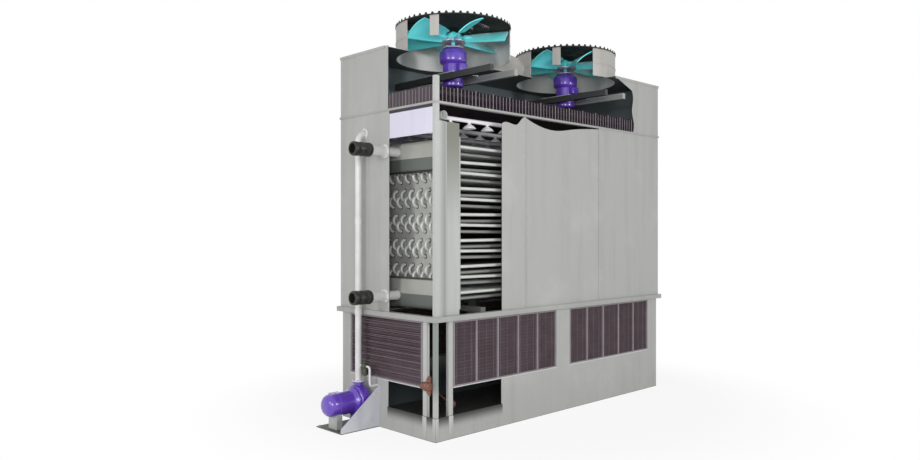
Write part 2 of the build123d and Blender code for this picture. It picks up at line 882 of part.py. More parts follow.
def build_rotor(n):
    x = fan_centres[n]
    with BuildPart() as fan_hub:
        with BuildSketch(Plane.XY.offset(hub_underside)):
            with Locations((x, 0)):
                Circle(hub_disc_radius)
        extrude(amount=hub_disc_thickness)
        with BuildSketch(Plane.XY.offset(hub_underside + hub_disc_thickness)):
            with Locations((x, 0)):
                RegularPolygon(hub_flats / 2, 6, major_radius=False, rotation=30)
        extrude(amount=hub_height)
        with BuildSketch(Plane.XY.offset(hub_underside)):
            with Locations((x, 0)):
                Circle(shaft_radius)
        extrude(amount=motor_top - shaft_depth - hub_underside)
    save(fan_hub, f"fan_hub_{n + 1}")
    blade = one_blade()
    with BuildPart() as fan_blades:
        with Locations((x, 0)):
            with PolarLocations(0, blade_count):
                add(blade)
    save(fan_blades, f"fan_blades_{n + 1}")


def motor_body(x):
    flange_top = motor_body_top + motor_flange_height
    with BuildSketch(Plane(origin=(x, 0, 0), x_dir=(1, 0, 0), z_dir=(0, -1, 0))) as profile:
        with BuildLine():
            Polyline(
                (0, motor_bottom),
                (motor_radius - motor_edge, motor_bottom),
                (motor_radius, motor_bottom + motor_edge),
                (motor_radius, motor_body_top),
                (motor_flange_radius, motor_body_top),
                (motor_flange_radius, flange_top),
                (motor_boss_radius, flange_top),
                (motor_boss_radius, motor_top),
                (0, motor_top),
                close=True,
            )
        make_face()
    revolve(profile.sketch, axis=Axis((x, 0, 0), (0, 0, 1)))
    with BuildSketch(Plane(origin=(x, 0, motor_top))) as socket:
        Circle(shaft_radius + shaft_clearance)
    extrude(socket.sketch, amount=-shaft_depth - shaft_radius, mode=Mode.SUBTRACT)


def build_motors():
    with BuildPart() as fan_motors:
        for x in fan_centres:
            motor_body(x)
    save(fan_motors, "fan_motors")


def build_mounts():
    with BuildPart() as motor_beams:
        for x in fan_centres:
            for side in (-mount_beam_offset, mount_beam_offset):
                low = mount_plate_bottom - mount_beam_height
                half = mount_beam_width / 2
                middle = x + side
                block(middle - half, middle + half, front, back - sheet, low, mount_plate_bottom)
    save(motor_beams, "motor_beams")
    with BuildPart() as motor_plates:
        with BuildSketch(Plane.XY.offset(mount_plate_bottom)):
            for x in fan_centres:
                with Locations((x, 0)):
                    Rectangle(mount_plate_width, mount_plate_width)
                    Circle(motor_radius + gap, mode=Mode.SUBTRACT)
        extrude(amount=mount_plate_thickness)
    save(motor_plates, "motor_plates")


# Pump


def build_pump():
    face = left - volute_from_wall
    back_face = face - volute_width
    axis = Axis((0, riser_y, pump_axis_height), (1, 0, 0))
    side = Plane(origin=(0, riser_y, pump_axis_height), x_dir=(1, 0, 0), z_dir=(0, -1, 0))
    with BuildPart() as pump_volute:
        with BuildSketch(side):
            with BuildLine():
                Polyline(
                    (low_left, 0),
                    (low_left, suction_radius),
                    (face, suction_radius),
                    (face, volute_radius),
                    (back_face + volute_edge, volute_radius),
                    (back_face, volute_radius - volute_edge),
                    (back_face, 0),
                    close=True,
                )
            make_face()
        revolve(axis=axis)
        with BuildSketch(Plane(origin=(riser_x, riser_y, pump_axis_height), z_dir=(0, 0, 1))):
            Rectangle(outlet_neck_width, outlet_neck_width)
        extrude(amount=volute_radius + outlet_neck_height)
    save(pump_volute, "pump_volute")
    with BuildPart() as pump_motor:
        end = back_face - pump_motor_length
        with BuildSketch(side):
            with BuildLine():
                Polyline(
                    (back_face, 0),
                    (back_face, pump_motor_radius),
                    (end + pump_motor_edge, pump_motor_radius),
                    (end, pump_motor_radius - pump_motor_edge),
                    (end, 0),
                    close=True,
                )
            make_face()
        revolve(axis=axis)
    save(pump_motor, "pump_motor")
    with BuildPart() as pump_base_plate:
        y0 = front + base_plate_from_corner
        block(low_left - base_plate_length, low_left, y0, y0 + base_plate_width, 0, base_plate_thickness)
    save(pump_base_plate, "pump_base_plate")
    with BuildPart() as pump_foot:
        x0 = left - pump_foot_from_wall - pump_foot_length
        y0 = riser_y - pump_foot_width / 2
        top = pump_axis_height - pump_motor_radius + pump_foot_rise
        block(x0, x0 + pump_foot_length, y0, y0 + pump_foot_width, base_plate_thickness, top)
        with BuildSketch(Plane(origin=(x0 - overrun, riser_y, pump_axis_height), z_dir=(1, 0, 0))):
            Circle(pump_motor_radius + pump_foot_seat)
        extrude(amount=pump_foot_length + 2 * overrun, mode=Mode.SUBTRACT)
    save(pump_foot, "pump_foot")
    with BuildPart() as pump_gusset:
        y0 = front + base_plate_from_corner
        low = base_plate_thickness
        with BuildSketch(Plane(origin=(low_left, y0, 0), x_dir=(1, 0, 0), z_dir=(0, -1, 0))):
            with BuildLine():
                Polyline(
                    (0, low),
                    (0, low + gusset_height),
                    (-base_plate_length, low + gusset_tip),
                    (-base_plate_length, low),
                    close=True,
                )
            make_face()
        extrude(amount=-gusset_thickness)
    save(pump_gusset, "pump_gusset")


def build_bleed():
    down_y = front + bleed_from_corner
    low = bleed_height - bleed_drop
    start = (riser_x, riser_y - riser_radius, bleed_height)
    with BuildPart() as bleed_pipe:
        with BuildLine():
            Polyline(
                start,
                (riser_x, down_y, bleed_height),
                (riser_x, down_y, low),
                (low_left, down_y, low),
            )
        with BuildSketch(Plane(origin=start, z_dir=(0, -1, 0))):
            Circle(bleed_radius)
        sweep(transition=Transition.RIGHT)
        valve_start = (riser_x, riser_y - riser_radius - bleed_valve_gap, bleed_height)
        with BuildSketch(Plane(origin=valve_start, z_dir=(0, -1, 0))):
            RegularPolygon(bleed_valve_radius, 6)
        extrude(amount=bleed_valve_length)
    save(bleed_pipe, "bleed_pipe")


# Float valve


def build_float_valve():
    x = left + valve_from_left
    y = front + valve_from_front
    upright_face = front + left_upright_offset
    pin_z = valve_height - pin_drop
    with BuildPart() as float_valve:
        with BuildSketch(Plane.XY.offset(valve_height - valve_length / 2)):
            with Locations((x, y)):
                RegularPolygon(valve_radius, 6)
        extrude(amount=valve_length)
        half = valve_bracket / 2
        middle = low_left + sheet + half
        block(middle - half, middle + half, y, upright_face, valve_height - half, valve_height + half)
        reach = x + pin_offset + lug_height / 2
        thick = lug_thickness / 2
        tall = lug_height / 2
        block(x, reach, y - thick, y + thick, pin_z - tall, pin_z + tall)
        with BuildSketch(Plane(origin=(x + pin_offset, y - thick - overrun, pin_z), z_dir=(0, 1, 0))):
            Circle(pin_radius + pin_clearance)
        extrude(amount=lug_thickness + 2 * overrun, mode=Mode.SUBTRACT)
    save(float_valve, "float_valve")
    pin_start = y - lug_thickness / 2 - gap
    bar_start = y + lug_thickness / 2 + gap
    along = Vector(cos(radians(arm_drop)), 0, -sin(radians(arm_drop)))
    pivot = Vector(x + pin_offset, bar_start, pin_z)
    ball = pivot + along * arm_length + Vector(0, arm_thickness / 2, 0)
    with BuildPart() as float_body:
        with BuildSketch(Plane(origin=ball - Vector(0, 0, float_radius))):
            RegularPolygon(float_radius, float_sides)
        extrude(amount=2 * float_radius)
        rims = float_body.faces().filter_by(Axis.Z).edges()
        chamfer(rims, float_edge)
    with BuildPart() as float_arm:
        with BuildSketch(Plane(origin=(x + pin_offset, pin_start, pin_z), z_dir=(0, 1, 0))):
            Circle(pin_radius)
        extrude(amount=bar_start + arm_thickness - pin_start)
        with BuildSketch(Plane(origin=pivot, x_dir=along, z_dir=(0, 1, 0))):
            with Locations((-arm_height / 2, 0)):
                Rectangle(arm_length, arm_height, align=(Align.MIN, Align.CENTER))
        extrude(amount=arm_thickness)
        add(float_body.part)
    save(float_arm, "float_arm")


os.makedirs("parts", exist_ok=True)
build_basin()
build_inlet_posts()
build_louvres()
build_seams()
build_coil_casing()
build_corner_column()
build_coil()
build_connections()
build_spray()
build_fan_casing()
build_deck()
build_eliminators()
build_stacks()
build_guards()
for fan in range(len(fan_centres)):
    build_rotor(fan)
build_motors()
build_mounts()
build_pump()
build_bleed()
build_float_valve()
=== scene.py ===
import math

import bmesh
import bpy
from mathutils import Matrix, Vector


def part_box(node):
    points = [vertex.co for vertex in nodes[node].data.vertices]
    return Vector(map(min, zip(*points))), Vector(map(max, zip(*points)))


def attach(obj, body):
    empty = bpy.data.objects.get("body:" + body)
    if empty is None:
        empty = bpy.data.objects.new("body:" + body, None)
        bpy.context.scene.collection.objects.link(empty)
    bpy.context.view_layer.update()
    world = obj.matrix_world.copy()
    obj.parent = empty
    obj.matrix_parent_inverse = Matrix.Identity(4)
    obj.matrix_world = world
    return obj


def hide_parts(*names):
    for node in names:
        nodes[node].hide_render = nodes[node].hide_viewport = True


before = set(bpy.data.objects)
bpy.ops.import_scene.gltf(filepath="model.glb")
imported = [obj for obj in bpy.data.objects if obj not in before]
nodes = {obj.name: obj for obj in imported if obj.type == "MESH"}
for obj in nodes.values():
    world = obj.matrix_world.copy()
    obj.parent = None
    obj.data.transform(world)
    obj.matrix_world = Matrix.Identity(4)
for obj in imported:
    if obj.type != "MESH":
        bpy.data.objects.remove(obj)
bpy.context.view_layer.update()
print("stage: frame loaded,", len(nodes), "nodes")


# shader helpers

def tone(red, green, blue):
    # screen colour, 0 to 255, as the linear colour a shader takes
    parts = []
    for value in (red, green, blue):
        share = value / 255
        parts.append(share / 12.92 if share < 0.04045 else ((share + 0.055) / 1.055) ** 2.4)
    return (*parts, 1.0)


class Link:
    # a socket that can stand in a sum
    def __init__(self, finish, socket):
        self.finish = finish
        self.socket = socket

    def __add__(self, other):
        return self.finish.sum("ADD", self, other)

    __radd__ = __add__

    def __mul__(self, other):
        return self.finish.sum("MULTIPLY", self, other)

    __rmul__ = __mul__

    def __sub__(self, other):
        return self.finish.sum("SUBTRACT", self, other)

    def __rsub__(self, other):
        return self.finish.sum("SUBTRACT", other, self)

    def __pow__(self, other):
        return self.finish.sum("POWER", self, other)

    def __gt__(self, other):
        return self.finish.sum("GREATER_THAN", self, other)

    def __lt__(self, other):
        return self.finish.sum("LESS_THAN", self, other)

    def __abs__(self):
        return self.finish.sum("ABSOLUTE", self, 0.0)

    def ramp(self, low, high, start=0.0, end=1.0):
        # eases from start to end as the value goes from low to high
        values = {0: self, 1: low, 2: high, 3: start, 4: end}
        return self.finish.node("ShaderNodeMapRange", values, interpolation_type="SMOOTHSTEP")[0]


class Made:
    # a node whose outputs are read as links
    def __init__(self, finish, shaderNode):
        self.finish = finish
        self.shaderNode = shaderNode

    def __getitem__(self, key):
        return Link(self.finish, self.shaderNode.outputs[key])


class Finish:
    def __init__(self, tree):
        self.tree = tree

    def node(self, kind, values=None, **settings):
        made = self.tree.nodes.new(kind)
        for key, value in settings.items():
            setattr(made, key, value)
        for key, value in (values or {}).items():
            self.feed(made.inputs[key], value)
        return Made(self, made)

    def feed(self, socket, value):
        if isinstance(value, Link):
            self.tree.links.new(value.socket, socket)
        else:
            socket.default_value = value

    def set(self, name, value):
        self.feed(self.shader.inputs[name], value)

    def bump(self, height, strength, distance):
        made = self.node("ShaderNodeBump", {"Height": height, "Strength": strength, "Distance": distance})
        self.set("Normal", made["Normal"])

    def sum(self, operation, first, second):
        return self.node("ShaderNodeMath", {0: first, 1: second}, operation=operation)[0]

    def mix(self, share, first, second):
        # first colour at 0, second at 1
        return self.node("ShaderNodeMix", {0: share, 6: first, 7: second}, data_type="RGBA")[2]

    def most(self, first, second):
        return self.sum("MAXIMUM", first, second)

    def least(self, first, second):
        return self.sum("MINIMUM", first, second)

    def place(self):
        return self.node("ShaderNodeTexCoord")["Object"]

    def axes(self):
        split = self.node("ShaderNodeSeparateXYZ", {0: self.place()})
        return split[0], split[1], split[2]

    def cloud(self, scale, detail, rough, stretch=(1, 1, 1)):
        mapped = self.node("ShaderNodeMapping", {"Vector": self.place(), "Scale": stretch})["Vector"]
        values = {"Vector": mapped, "Scale": scale, "Detail": detail, "Roughness": rough}
        return self.node("ShaderNodeTexNoise", values)[0]

    def straight(self):
        # 1 for rays that show a surface as itself, 0 for rays that only light by it
        seen = self.node("ShaderNodeLightPath")
        return self.most(self.most(seen["Is Camera Ray"], seen["Is Glossy Ray"]), seen["Is Transmission Ray"])


def newFinish(name, metallic, coat=0.0):
    # a principled material with its even values set on the sockets themselves
    material = bpy.data.materials.new(name)
    material.use_nodes = True
    finish = Finish(material.node_tree)
    finish.material = material
    finish.shader = material.node_tree.nodes["Principled BSDF"]
    finish.set("Metallic", metallic)
    finish.set("Coat Weight", coat)
    finish.set("Coat Roughness", 0.15)
    return finish


# coated sheets: sheet, stain and bright colour, metallic, roughness
sheetLooks = {
    "casingSheet": ((176, 177, 174), (150, 151, 146), (198, 199, 197), 0.1, 0.52),
    "postSteel": ((188, 190, 187), (158, 161, 156), (206, 208, 206), 0.12, 0.48),
    "seamSteel": ((168, 169, 166), (140, 141, 136), (192, 193, 190), 0.12, 0.5),
    "plateSteel": ((102, 107, 98), (74, 78, 70), (132, 136, 126), 0.1, 0.6),
    "gussetSteel": ((204, 206, 214), (184, 186, 192), (222, 224, 230), 0.12, 0.5),
    "beamSteel": ((96, 97, 94), (66, 67, 64), (128, 129, 126), 0.15, 0.55),
    "stackSheet": ((180, 177, 172), (160, 159, 152), (208, 208, 204), 0.1, 0.46),
    "linerSheet": ((222, 219, 236), (202, 199, 216), (232, 230, 244), 0.0, 0.62),
}
sameLook = {
    "trimSteel": "casingSheet", "columnSteel": "postSteel", "inletPostSteel": "postSteel",
    "sidePlateSteel": "postSteel", "motorBeamSteel": "seamSteel",
}
sheetLooks.update({name: sheetLooks[source] for name, source in sameLook.items()})
sheetGrain = {"grain": 240.0, "spangle": 85.0, "patch": 1.7, "streak": 7.0, "bump": 0.25, "bumpDepth": 0.0015}


def sheetFinish(name, sheet, stain, bright, metallic, rough):
    # fine zinc grain, long faint streaks, soft clouds and a little grime low down
    finish = newFinish(name, metallic)
    grain = finish.cloud(sheetGrain["grain"], 4.0, 0.7)
    values = {"Vector": finish.place(), "Scale": sheetGrain["spangle"]}
    spangle = finish.node("ShaderNodeTexVoronoi", values, feature="F1")["Distance"]
    patch = finish.cloud(sheetGrain["patch"], 4.0, 0.6)
    streak = finish.cloud(sheetGrain["streak"], 3.0, 0.6, (1, 1, 0.06))
    grime = finish.axes()[2].ramp(0.02, 0.5, 0.35, 0.0) * patch
    stained = grain.ramp(0.35, 0.72) * 0.3 + streak.ramp(0.45, 0.75) * 0.35 + grime
    tint = finish.mix(stained, tone(*sheet), tone(*stain))
    finish.tint = finish.mix(patch.ramp(0.5, 0.8) * 0.4 + spangle * 0.15, tint, tone(*bright))
    finish.set("Base Color", finish.tint)
    finish.set("Roughness", grain * 0.16 + patch * 0.1 + (rough - 0.12))
    finish.bump(grain * 0.25 + patch * 1.5 + spangle * 0.2, sheetGrain["bump"], sheetGrain["bumpDepth"])
    return finish


# moulded, painted or drawn surfaces: main, shade and worn colour, roughness, wear, metallic, wear scale, coat
smoothLooks = {
    "coilSteel": ((216, 218, 214), (198, 200, 195), (150, 148, 140), 0.42, 0.3, 0.12),
    "headerSteel": ((174, 174, 168), (158, 158, 152), (140, 138, 130), 0.5, 0.3, 0.15),
    "endSheetSteel": ((186, 187, 182), (170, 171, 166), (140, 140, 134), 0.5, 0.35, 0.12),
    "weldSteel": ((150, 150, 146), (120, 121, 118), (96, 92, 84), 0.5, 0.5, 0.3, 140.0),
    "branchWhite": ((250, 248, 250), (240, 236, 242), (226, 214, 222), 0.34, 0.2),
    "sillWhite": ((206, 206, 208), (188, 188, 190), (170, 168, 168), 0.45, 0.2, 0.1),
    "pipeWhite": ((226, 225, 224), (206, 205, 206), (186, 185, 182), 0.38, 0.15),
    "capRubber": ((34, 34, 32), (22, 22, 21), (66, 66, 62), 0.46, 0.3),
    "louvrePlastic": ((106, 92, 98), (88, 75, 81), (136, 124, 129), 0.55, 0.3),
    "dividerPlastic": ((136, 127, 132), (118, 109, 114), (160, 152, 156), 0.5, 0.25),
    "slatPlastic": ((64, 54, 60), (46, 38, 44), (104, 94, 100), 0.55, 0.3),
    "slatEdgePlastic": ((134, 124, 132), (108, 98, 106), (150, 143, 148), 0.5, 0.25),
    "bladePaint": ((120, 250, 253), (96, 236, 240), (150, 252, 253), 0.3, 0.2, 0.0, 38.0, 0.35),
    "guardWire": ((18, 26, 23), (12, 17, 15), (58, 34, 26), 0.7, 0.5, 0.0, 60.0),
    "motorPaint": ((100, 62, 188), (82, 46, 164), (128, 92, 208), 0.3, 0.2, 0.0, 38.0, 0.8),
    "crownSteel": ((196, 192, 212), (164, 160, 184), (214, 212, 224), 0.35, 0.3, 0.4),
    "valveBrass": ((126, 86, 70), (104, 68, 54), (94, 60, 48), 0.42, 0.5, 0.35, 70.0),
    "oliveBronze": ((82, 84, 68), (62, 64, 52), (118, 120, 102), 0.5, 0.35, 0.2, 90.0),
    "floatRubber": ((96, 52, 38), (74, 40, 30), (140, 86, 62), 0.4, 0.4, 0.2, 60.0),
    "boltZinc": ((186, 188, 188), (150, 152, 152), (120, 118, 112), 0.38, 0.3, 0.55, 120.0),
}
smoothGrain = {"drift": 6.0, "peel": 420.0, "bump": 0.2, "bumpDepth": 0.0008}


def smoothFinish(name, main, shade, worn, rough, wearShare, metallic=0.0, wearScale=38.0, coat=0.0):
    # gentle colour drift, worn patches and fine orange peel
    finish = newFinish(name, metallic, coat)
    drift = finish.cloud(smoothGrain["drift"], 3.0, 0.5)
    peel = finish.cloud(smoothGrain["peel"], 2.0, 0.5)
    wear = finish.cloud(wearScale, 5.0, 0.65)
    tint = finish.mix(drift.ramp(0.35, 0.7) * 0.5, tone(*main), tone(*shade))
    finish.tint = finish.mix(wear.ramp(0.62, 0.8) * wearShare, tint, tone(*worn))
    finish.set("Base Color", finish.tint)
    finish.set("Roughness", wear * 0.12 + peel * 0.06 + (rough - 0.08))
    finish.bump(peel * 0.3 + drift, smoothGrain["bump"], smoothGrain["bumpDepth"])
    return finish


# second colours: each function takes a finish and its x, y and z, and gives the colour to show

# where and how the casing's inside is painted: painted shade on the inner faces and the cut basin wall,
# painted light in the air inlet
casingShading = {
    "upper": (1.7535, 0.686), "lower": (1.7385, 0.671), "seam": 1.05, "airTop": 1.06, "top": 3.4975,
    "inside": tone(98, 108, 110), "airSide": tone(188, 194, 190), "frontEnd": -0.9, "front": -0.6,
    "leftEnd": -1.7, "leftBack": -0.02, "tideTop": 0.2065, "tide": tone(22, 23, 22),
}


def casingColour(finish, x, y, z):
    # painted shade: the inner faces are darkened, with paler painted light in the air inlet, and below the
    # cut the basin wall gets a soft painted shade that fades downward
    (upperX, upperY), (lowerX, lowerY) = casingShading["upper"], casingShading["lower"]
    upper = finish.least(abs(x) < upperX, abs(y) < upperY)
    lower = finish.least(abs(x) < lowerX, abs(y) < lowerY)
    isUpper = z > casingShading["seam"]
    inside = (upper * isUpper + lower * (1 - isUpper)) * (z < casingShading["top"])
    # coat here is the colour painted on the inner faces: painted shade, turning to paler painted light in the
    # air inlet
    coat = finish.mix(z.ramp(0.22, 0.5) * (z < casingShading["airTop"]), casingShading["inside"], casingShading["airSide"])
    frontCorner = (x < casingShading["frontEnd"]) * (y < casingShading["front"])
    leftCorner = (x < casingShading["leftEnd"]) * (y < casingShading["leftBack"])
    tide = z.ramp(0.09, 0.206, 0.0, 0.93) * finish.most(frontCorner, leftCorner) * (z < casingShading["tideTop"])
    return finish.mix(tide, finish.mix(inside, finish.tint, coat), casingShading["tide"])


# the joint colour is a painted shadow and the plate top colour a painted shade
upright = {
    "joint": tone(138, 141, 136), "olive": tone(112, 114, 102), "corner": tone(128, 138, 133),
    "plateEdge": -1.6, "columnFront": -0.66, "cornerX": -1.69, "cornerY": -0.62,
}


def sidePlateColour(finish, x, y, z):
    # painted shade: dark olive at the top, easing to pale steel lower down, and a grey painted shadow at the
    # joint
    height = z.ramp(1.75, 2.7) * (1 - (x < upright["plateEdge"]))
    shaded = finish.mix(x.ramp(-1.64, -1.57, 0.5, 0.0), finish.tint, upright["joint"])
    return finish.mix(height * 0.85, shaded, upright["olive"])


def columnColour(finish, x, y, z):
    # painted shadow: the corner column greys towards its joint with the side plate
    joint = x.ramp(-1.725, -1.645) * (y < upright["columnFront"]) * 0.75
    return finish.mix(joint, finish.tint, upright["joint"])


def inletPostColour(finish, x, y, z):
    # the corner post is a greyer green above the sill
    corner = (x < upright["cornerX"]) * (y < upright["cornerY"]) * z.ramp(0.3, 0.5)
    return finish.mix(corner * 0.8, finish.tint, upright["corner"])


# accent colours: painted light inside the stacks, painted shade in the band under the rail and on the near
# motor beams, and the trims' colour
accents = {
    "stackCentre": 0.8925, "stackInside": 0.5625, "stack": tone(222, 221, 218), "trim": tone(204, 206, 205),
    "bandLow": 2.868, "band": tone(52, 50, 58), "beamEnds": (-0.9, 0.0, 0.88), "beam": tone(58, 60, 60),
}


def stackColour(finish, x, y, z):
    # painted light: paler inside than outside
    across = abs(abs(x) - accents["stackCentre"])
    inner = ((across * across + y * y) ** 0.5) < accents["stackInside"]
    return finish.mix(inner * 0.85, finish.tint, accents["stack"])


def trimColour(finish, x, y, z):
    # post colour at the top, wall colour at the foot
    return finish.mix(z.ramp(0.0, 0.2, 0.05, 0.6), finish.tint, accents["trim"])


def linerColour(finish, x, y, z):
    # painted shade: a dark band under the rail
    return finish.mix(z > accents["bandLow"], finish.tint, accents["band"])


def motorBeamColour(finish, x, y, z):
    # painted shade: the near beam of each pair is dark, while the far one keeps its pale steel
    first, low, high = accents["beamEnds"]
    return finish.mix(finish.most(x < first, (x > low) * (x < high)), finish.tint, accents["beam"])


# second, deep and grey are painted shade on the tubes behind the front column; coat and seam are the headers'
# painted shade and painted shadow lines
coilZones = {
    "level": 2.17, "pitch": 0.31, "outerEnd": -1.4, "second": tone(104, 106, 104), "deep": tone(52, 54, 54),
    "grey": tone(150, 152, 150), "coat": tone(102, 107, 104), "seam": tone(40, 42, 40), "between": 2.0,
    "coatTops": (1.236, 2.462), "seamTop": 2.352, "lowSeam": (1.368, 1.5),
}


def coilColour(finish, x, y, z):
    # pale zinc on the bends and the front column; painted shade on the tubes behind: greyer at the second
    # column, then dark bands with grey between them for the shadowed gaps between tube groups
    behind = x > coilZones["outerEnd"]
    wave = finish.sum("SINE", (z - coilZones["level"]) * (2 * math.pi / coilZones["pitch"]), 0.0)
    # scale here is painted shade: dark bands, with grey between, for the shadowed gaps between tube groups
    scale = finish.mix(wave.ramp(-0.35, 0.35), coilZones["deep"], coilZones["grey"])
    outer = finish.mix(y.ramp(-0.585, -0.57) * behind * 0.7, finish.tint, coilZones["second"])
    return finish.mix(y.ramp(-0.535, -0.505) * behind * 0.92, outer, scale)


def headerColour(finish, x, y, z):
    # painted shade: each header's lower half is darker, with painted shadow lines along the upper header's
    # bottom and the lower header's top
    lowTop, highTop = coilZones["coatTops"]
    shadowLineLow, shadowLineHigh = coilZones["lowSeam"]
    isUpper = z > coilZones["between"]
    halfShaded = finish.mix(finish.most((z < highTop) * isUpper, z < lowTop), finish.tint, coilZones["coat"])
    shadowLines = finish.most((z < coilZones["seamTop"]) * isUpper, (z > shadowLineLow) * (z < shadowLineHigh))
    return finish.mix(shadowLines * 0.8, halfShaded, coilZones["seam"])


finishes = {name: sheetFinish(name, *look) for name, look in sheetLooks.items()}
finishes.update({name: smoothFinish(name, *look) for name, look in smoothLooks.items()})
secondColours = {
    "casingSheet": casingColour, "sidePlateSteel": sidePlateColour, "columnSteel": columnColour,
    "inletPostSteel": inletPostColour, "stackSheet": stackColour, "trimSteel": trimColour,
    "linerSheet": linerColour, "motorBeamSteel": motorBeamColour, "coilSteel": coilColour,
    "headerSteel": headerColour,
}
for name, colour in secondColours.items():
    finishes[name].set("Base Color", colour(finishes[name], *finishes[name].axes()))
print("stage: finishes made")

# the nodes that stay visible, by finish
nodesByFinish = {
    "casingSheet": "basin_front_wall basin_left_wall basin_back_wall basin_right_wall coil_front_panels "
                   "coil_back_panels coil_left_panel coil_right_panel fan_back_panel fan_left_panel "
                   "fan_right_panel fan_front_panel inlet_corner_panels inlet_mid_posts fan_deck",
    "seamSteel": "seam_collar section_rail motor_plates",
    "beamSteel": "basin_floor coil_support_beams",
    "postSteel": "corner_post_upper pump_foot",
    "inletPostSteel": "inlet_posts", "columnSteel": "coil_corner_column", "sidePlateSteel": "coil_side_plate",
    "motorBeamSteel": "motor_beams", "plateSteel": "pump_base_plate", "gussetSteel": "pump_gusset",
    "headerSteel": "coil_headers", "linerSheet": "spray_baffles", "dividerPlastic": "louvre_frames",
    "louvrePlastic": "louvre_packs", "stackSheet": "fan_stacks", "bladePaint": "fan_hub_1 fan_hub_2",
    "valveBrass": "float_valve",
}
for finishName, nodeNames in nodesByFinish.items():
    for nodeName in nodeNames.split():
        for materialSlot in nodes[nodeName].material_slots:
            materialSlot.material = finishes[finishName].material


# modelling helpers

# the casing's half sizes above and below the collar, and the level of its deck
shell = {"length": 1.755, "width": 0.6875, "lowLength": 1.74, "lowWidth": 0.6725, "deck": 3.5}


def pointsOf(items):
    return [item for item in items if isinstance(item, bmesh.types.BMVert)]


def rimsOf(points):
    return list(dict.fromkeys(rim for vert in points for rim in vert.link_edges))


def turnTo(axis):
    # turns +Z to an axis
    return Vector((0, 0, 1)).rotation_difference(Vector(axis).normalized()).to_matrix().to_4x4()


def addLine(mesh, places):
    points = [mesh.verts.new(place) for place in places]
    return points, [mesh.edges.new(pair) for pair in zip(points, points[1:])]


def growRow(mesh, edges):
    # draws edges out and gives the new points and edges, still to be moved
    made = bmesh.ops.extrude_edge_only(mesh, edges=edges)["geom"]
    points = pointsOf(made)
    fresh = set(points)
    rims = [item for item in made if isinstance(item, bmesh.types.BMEdge) and fresh.issuperset(item.verts)]
    return points, rims


def copies(mesh, count):
    # copies all that the mesh holds, and gives each copy's number and points
    one = [*mesh.verts, *mesh.edges, *mesh.faces]
    for number in range(1, count):
        yield number, pointsOf(bmesh.ops.duplicate(mesh, geom=one)["geom"])


def addSlab(mesh, low, high, edge=0.0, segments=2):
    low, high = Vector(low), Vector(high)
    spot = Matrix.Translation((low + high) / 2) @ Matrix.Diagonal((*(high - low), 1.0))
    made = bmesh.ops.create_cube(mesh, size=1.0, matrix=spot)
    if edge:
        bmesh.ops.bevel(mesh, geom=rimsOf(made["verts"]), offset=edge, offset_type="OFFSET", affect="EDGES",
                        segments=segments, profile=0.5, clamp_overlap=True, material=-1)


def addBetween(mesh, along, across, low, high):
    # slab of an x and a y span whose ends come in either order
    addSlab(mesh, (min(along), min(across), low), (max(along), max(across), high))


def addTilted(mesh, centre, size, angle, axis):
    turned = Matrix.Translation(centre) @ Matrix.Rotation(math.radians(angle), 4, axis)
    spot = turned @ Matrix.Diagonal((*size, 1.0))
    bmesh.ops.create_cube(mesh, size=1.0, matrix=spot)


def band(inner, outer, low, high):
    # closed outline of a plain ring
    return [(inner, low), (outer, low), (outer, high), (inner, high), (inner, low)]


def mirrored(half, length):
    # an outline whose second half mirrors the first
    return [*half, *((radius, length - height) for radius, height in reversed(half))]


def addLathe(mesh, profile, centre, axis=(0, 0, 1), steps=32, angle=360.0, side=None):
    # profile: (radius, height) pairs turned about an axis; a full turn closes on itself
    up = Vector(axis).normalized()
    out = Vector(side).normalized() if side else up.orthogonal().normalized()
    middle = Vector(centre)
    points, lines = addLine(mesh, [middle + out * radius + up * height for radius, height in profile])
    bmesh.ops.spin(mesh, geom=points + lines, cent=middle, axis=up, dvec=(0, 0, 0), angle=math.radians(angle),
                   steps=steps, use_merge=angle >= 360.0, use_duplicate=False)
    if any(radius == 0 for radius, height in profile):
        onAxis = [vert for vert in mesh.verts if (vert.co - middle).cross(up).length < 1e-6]
        bmesh.ops.remove_doubles(mesh, verts=onAxis, dist=1e-6)


def addPlug(mesh, centre, axis, radius, depth, sides=6, top=None):
    # a short solid post, such as a bolt head, along an axis from its base
    up = Vector(axis).normalized()
    spot = Matrix.Translation(Vector(centre) + up * depth / 2) @ turnTo(up)
    bmesh.ops.create_cone(mesh, cap_ends=True, cap_tris=False, segments=sides, radius1=radius,
                          radius2=radius if top is None else top, depth=depth, matrix=spot)


def addBolts(mesh, centre, circle, size, axis=(0, 0, 1)):
    # plugs on a circle: its radius, their count, the first one's angle and, for an arc, the step in degrees
    radius, count, start, *step = circle
    for number in range(count):
        swing = math.radians(start + number * (step[0] if step else 360 / count))
        side, rise = radius * math.cos(swing), radius * math.sin(swing)
        spot = Vector(centre) + Vector((side, rise, 0) if axis[2] else (0, side, rise))
        addPlug(mesh, spot, axis, *size)


def addWasherBolts(mesh, xs, ys, level, washer, bolt):
    for x in xs:
        for y in ys:
            addPlug(mesh, (x, y, level), (0, 0, 1), *washer)
            addPlug(mesh, (x, y, level + washer[1]), (0, 0, 1), *bolt)


def addScrew(mesh, centre, axis, radius):
    # washer and low domed head
    washer = radius * 0.22
    addPlug(mesh, centre, axis, radius * 1.45, washer, 10)
    addPlug(mesh, Vector(centre) + Vector(axis) * washer, axis, radius, radius * 0.5, 8, radius * 0.62)


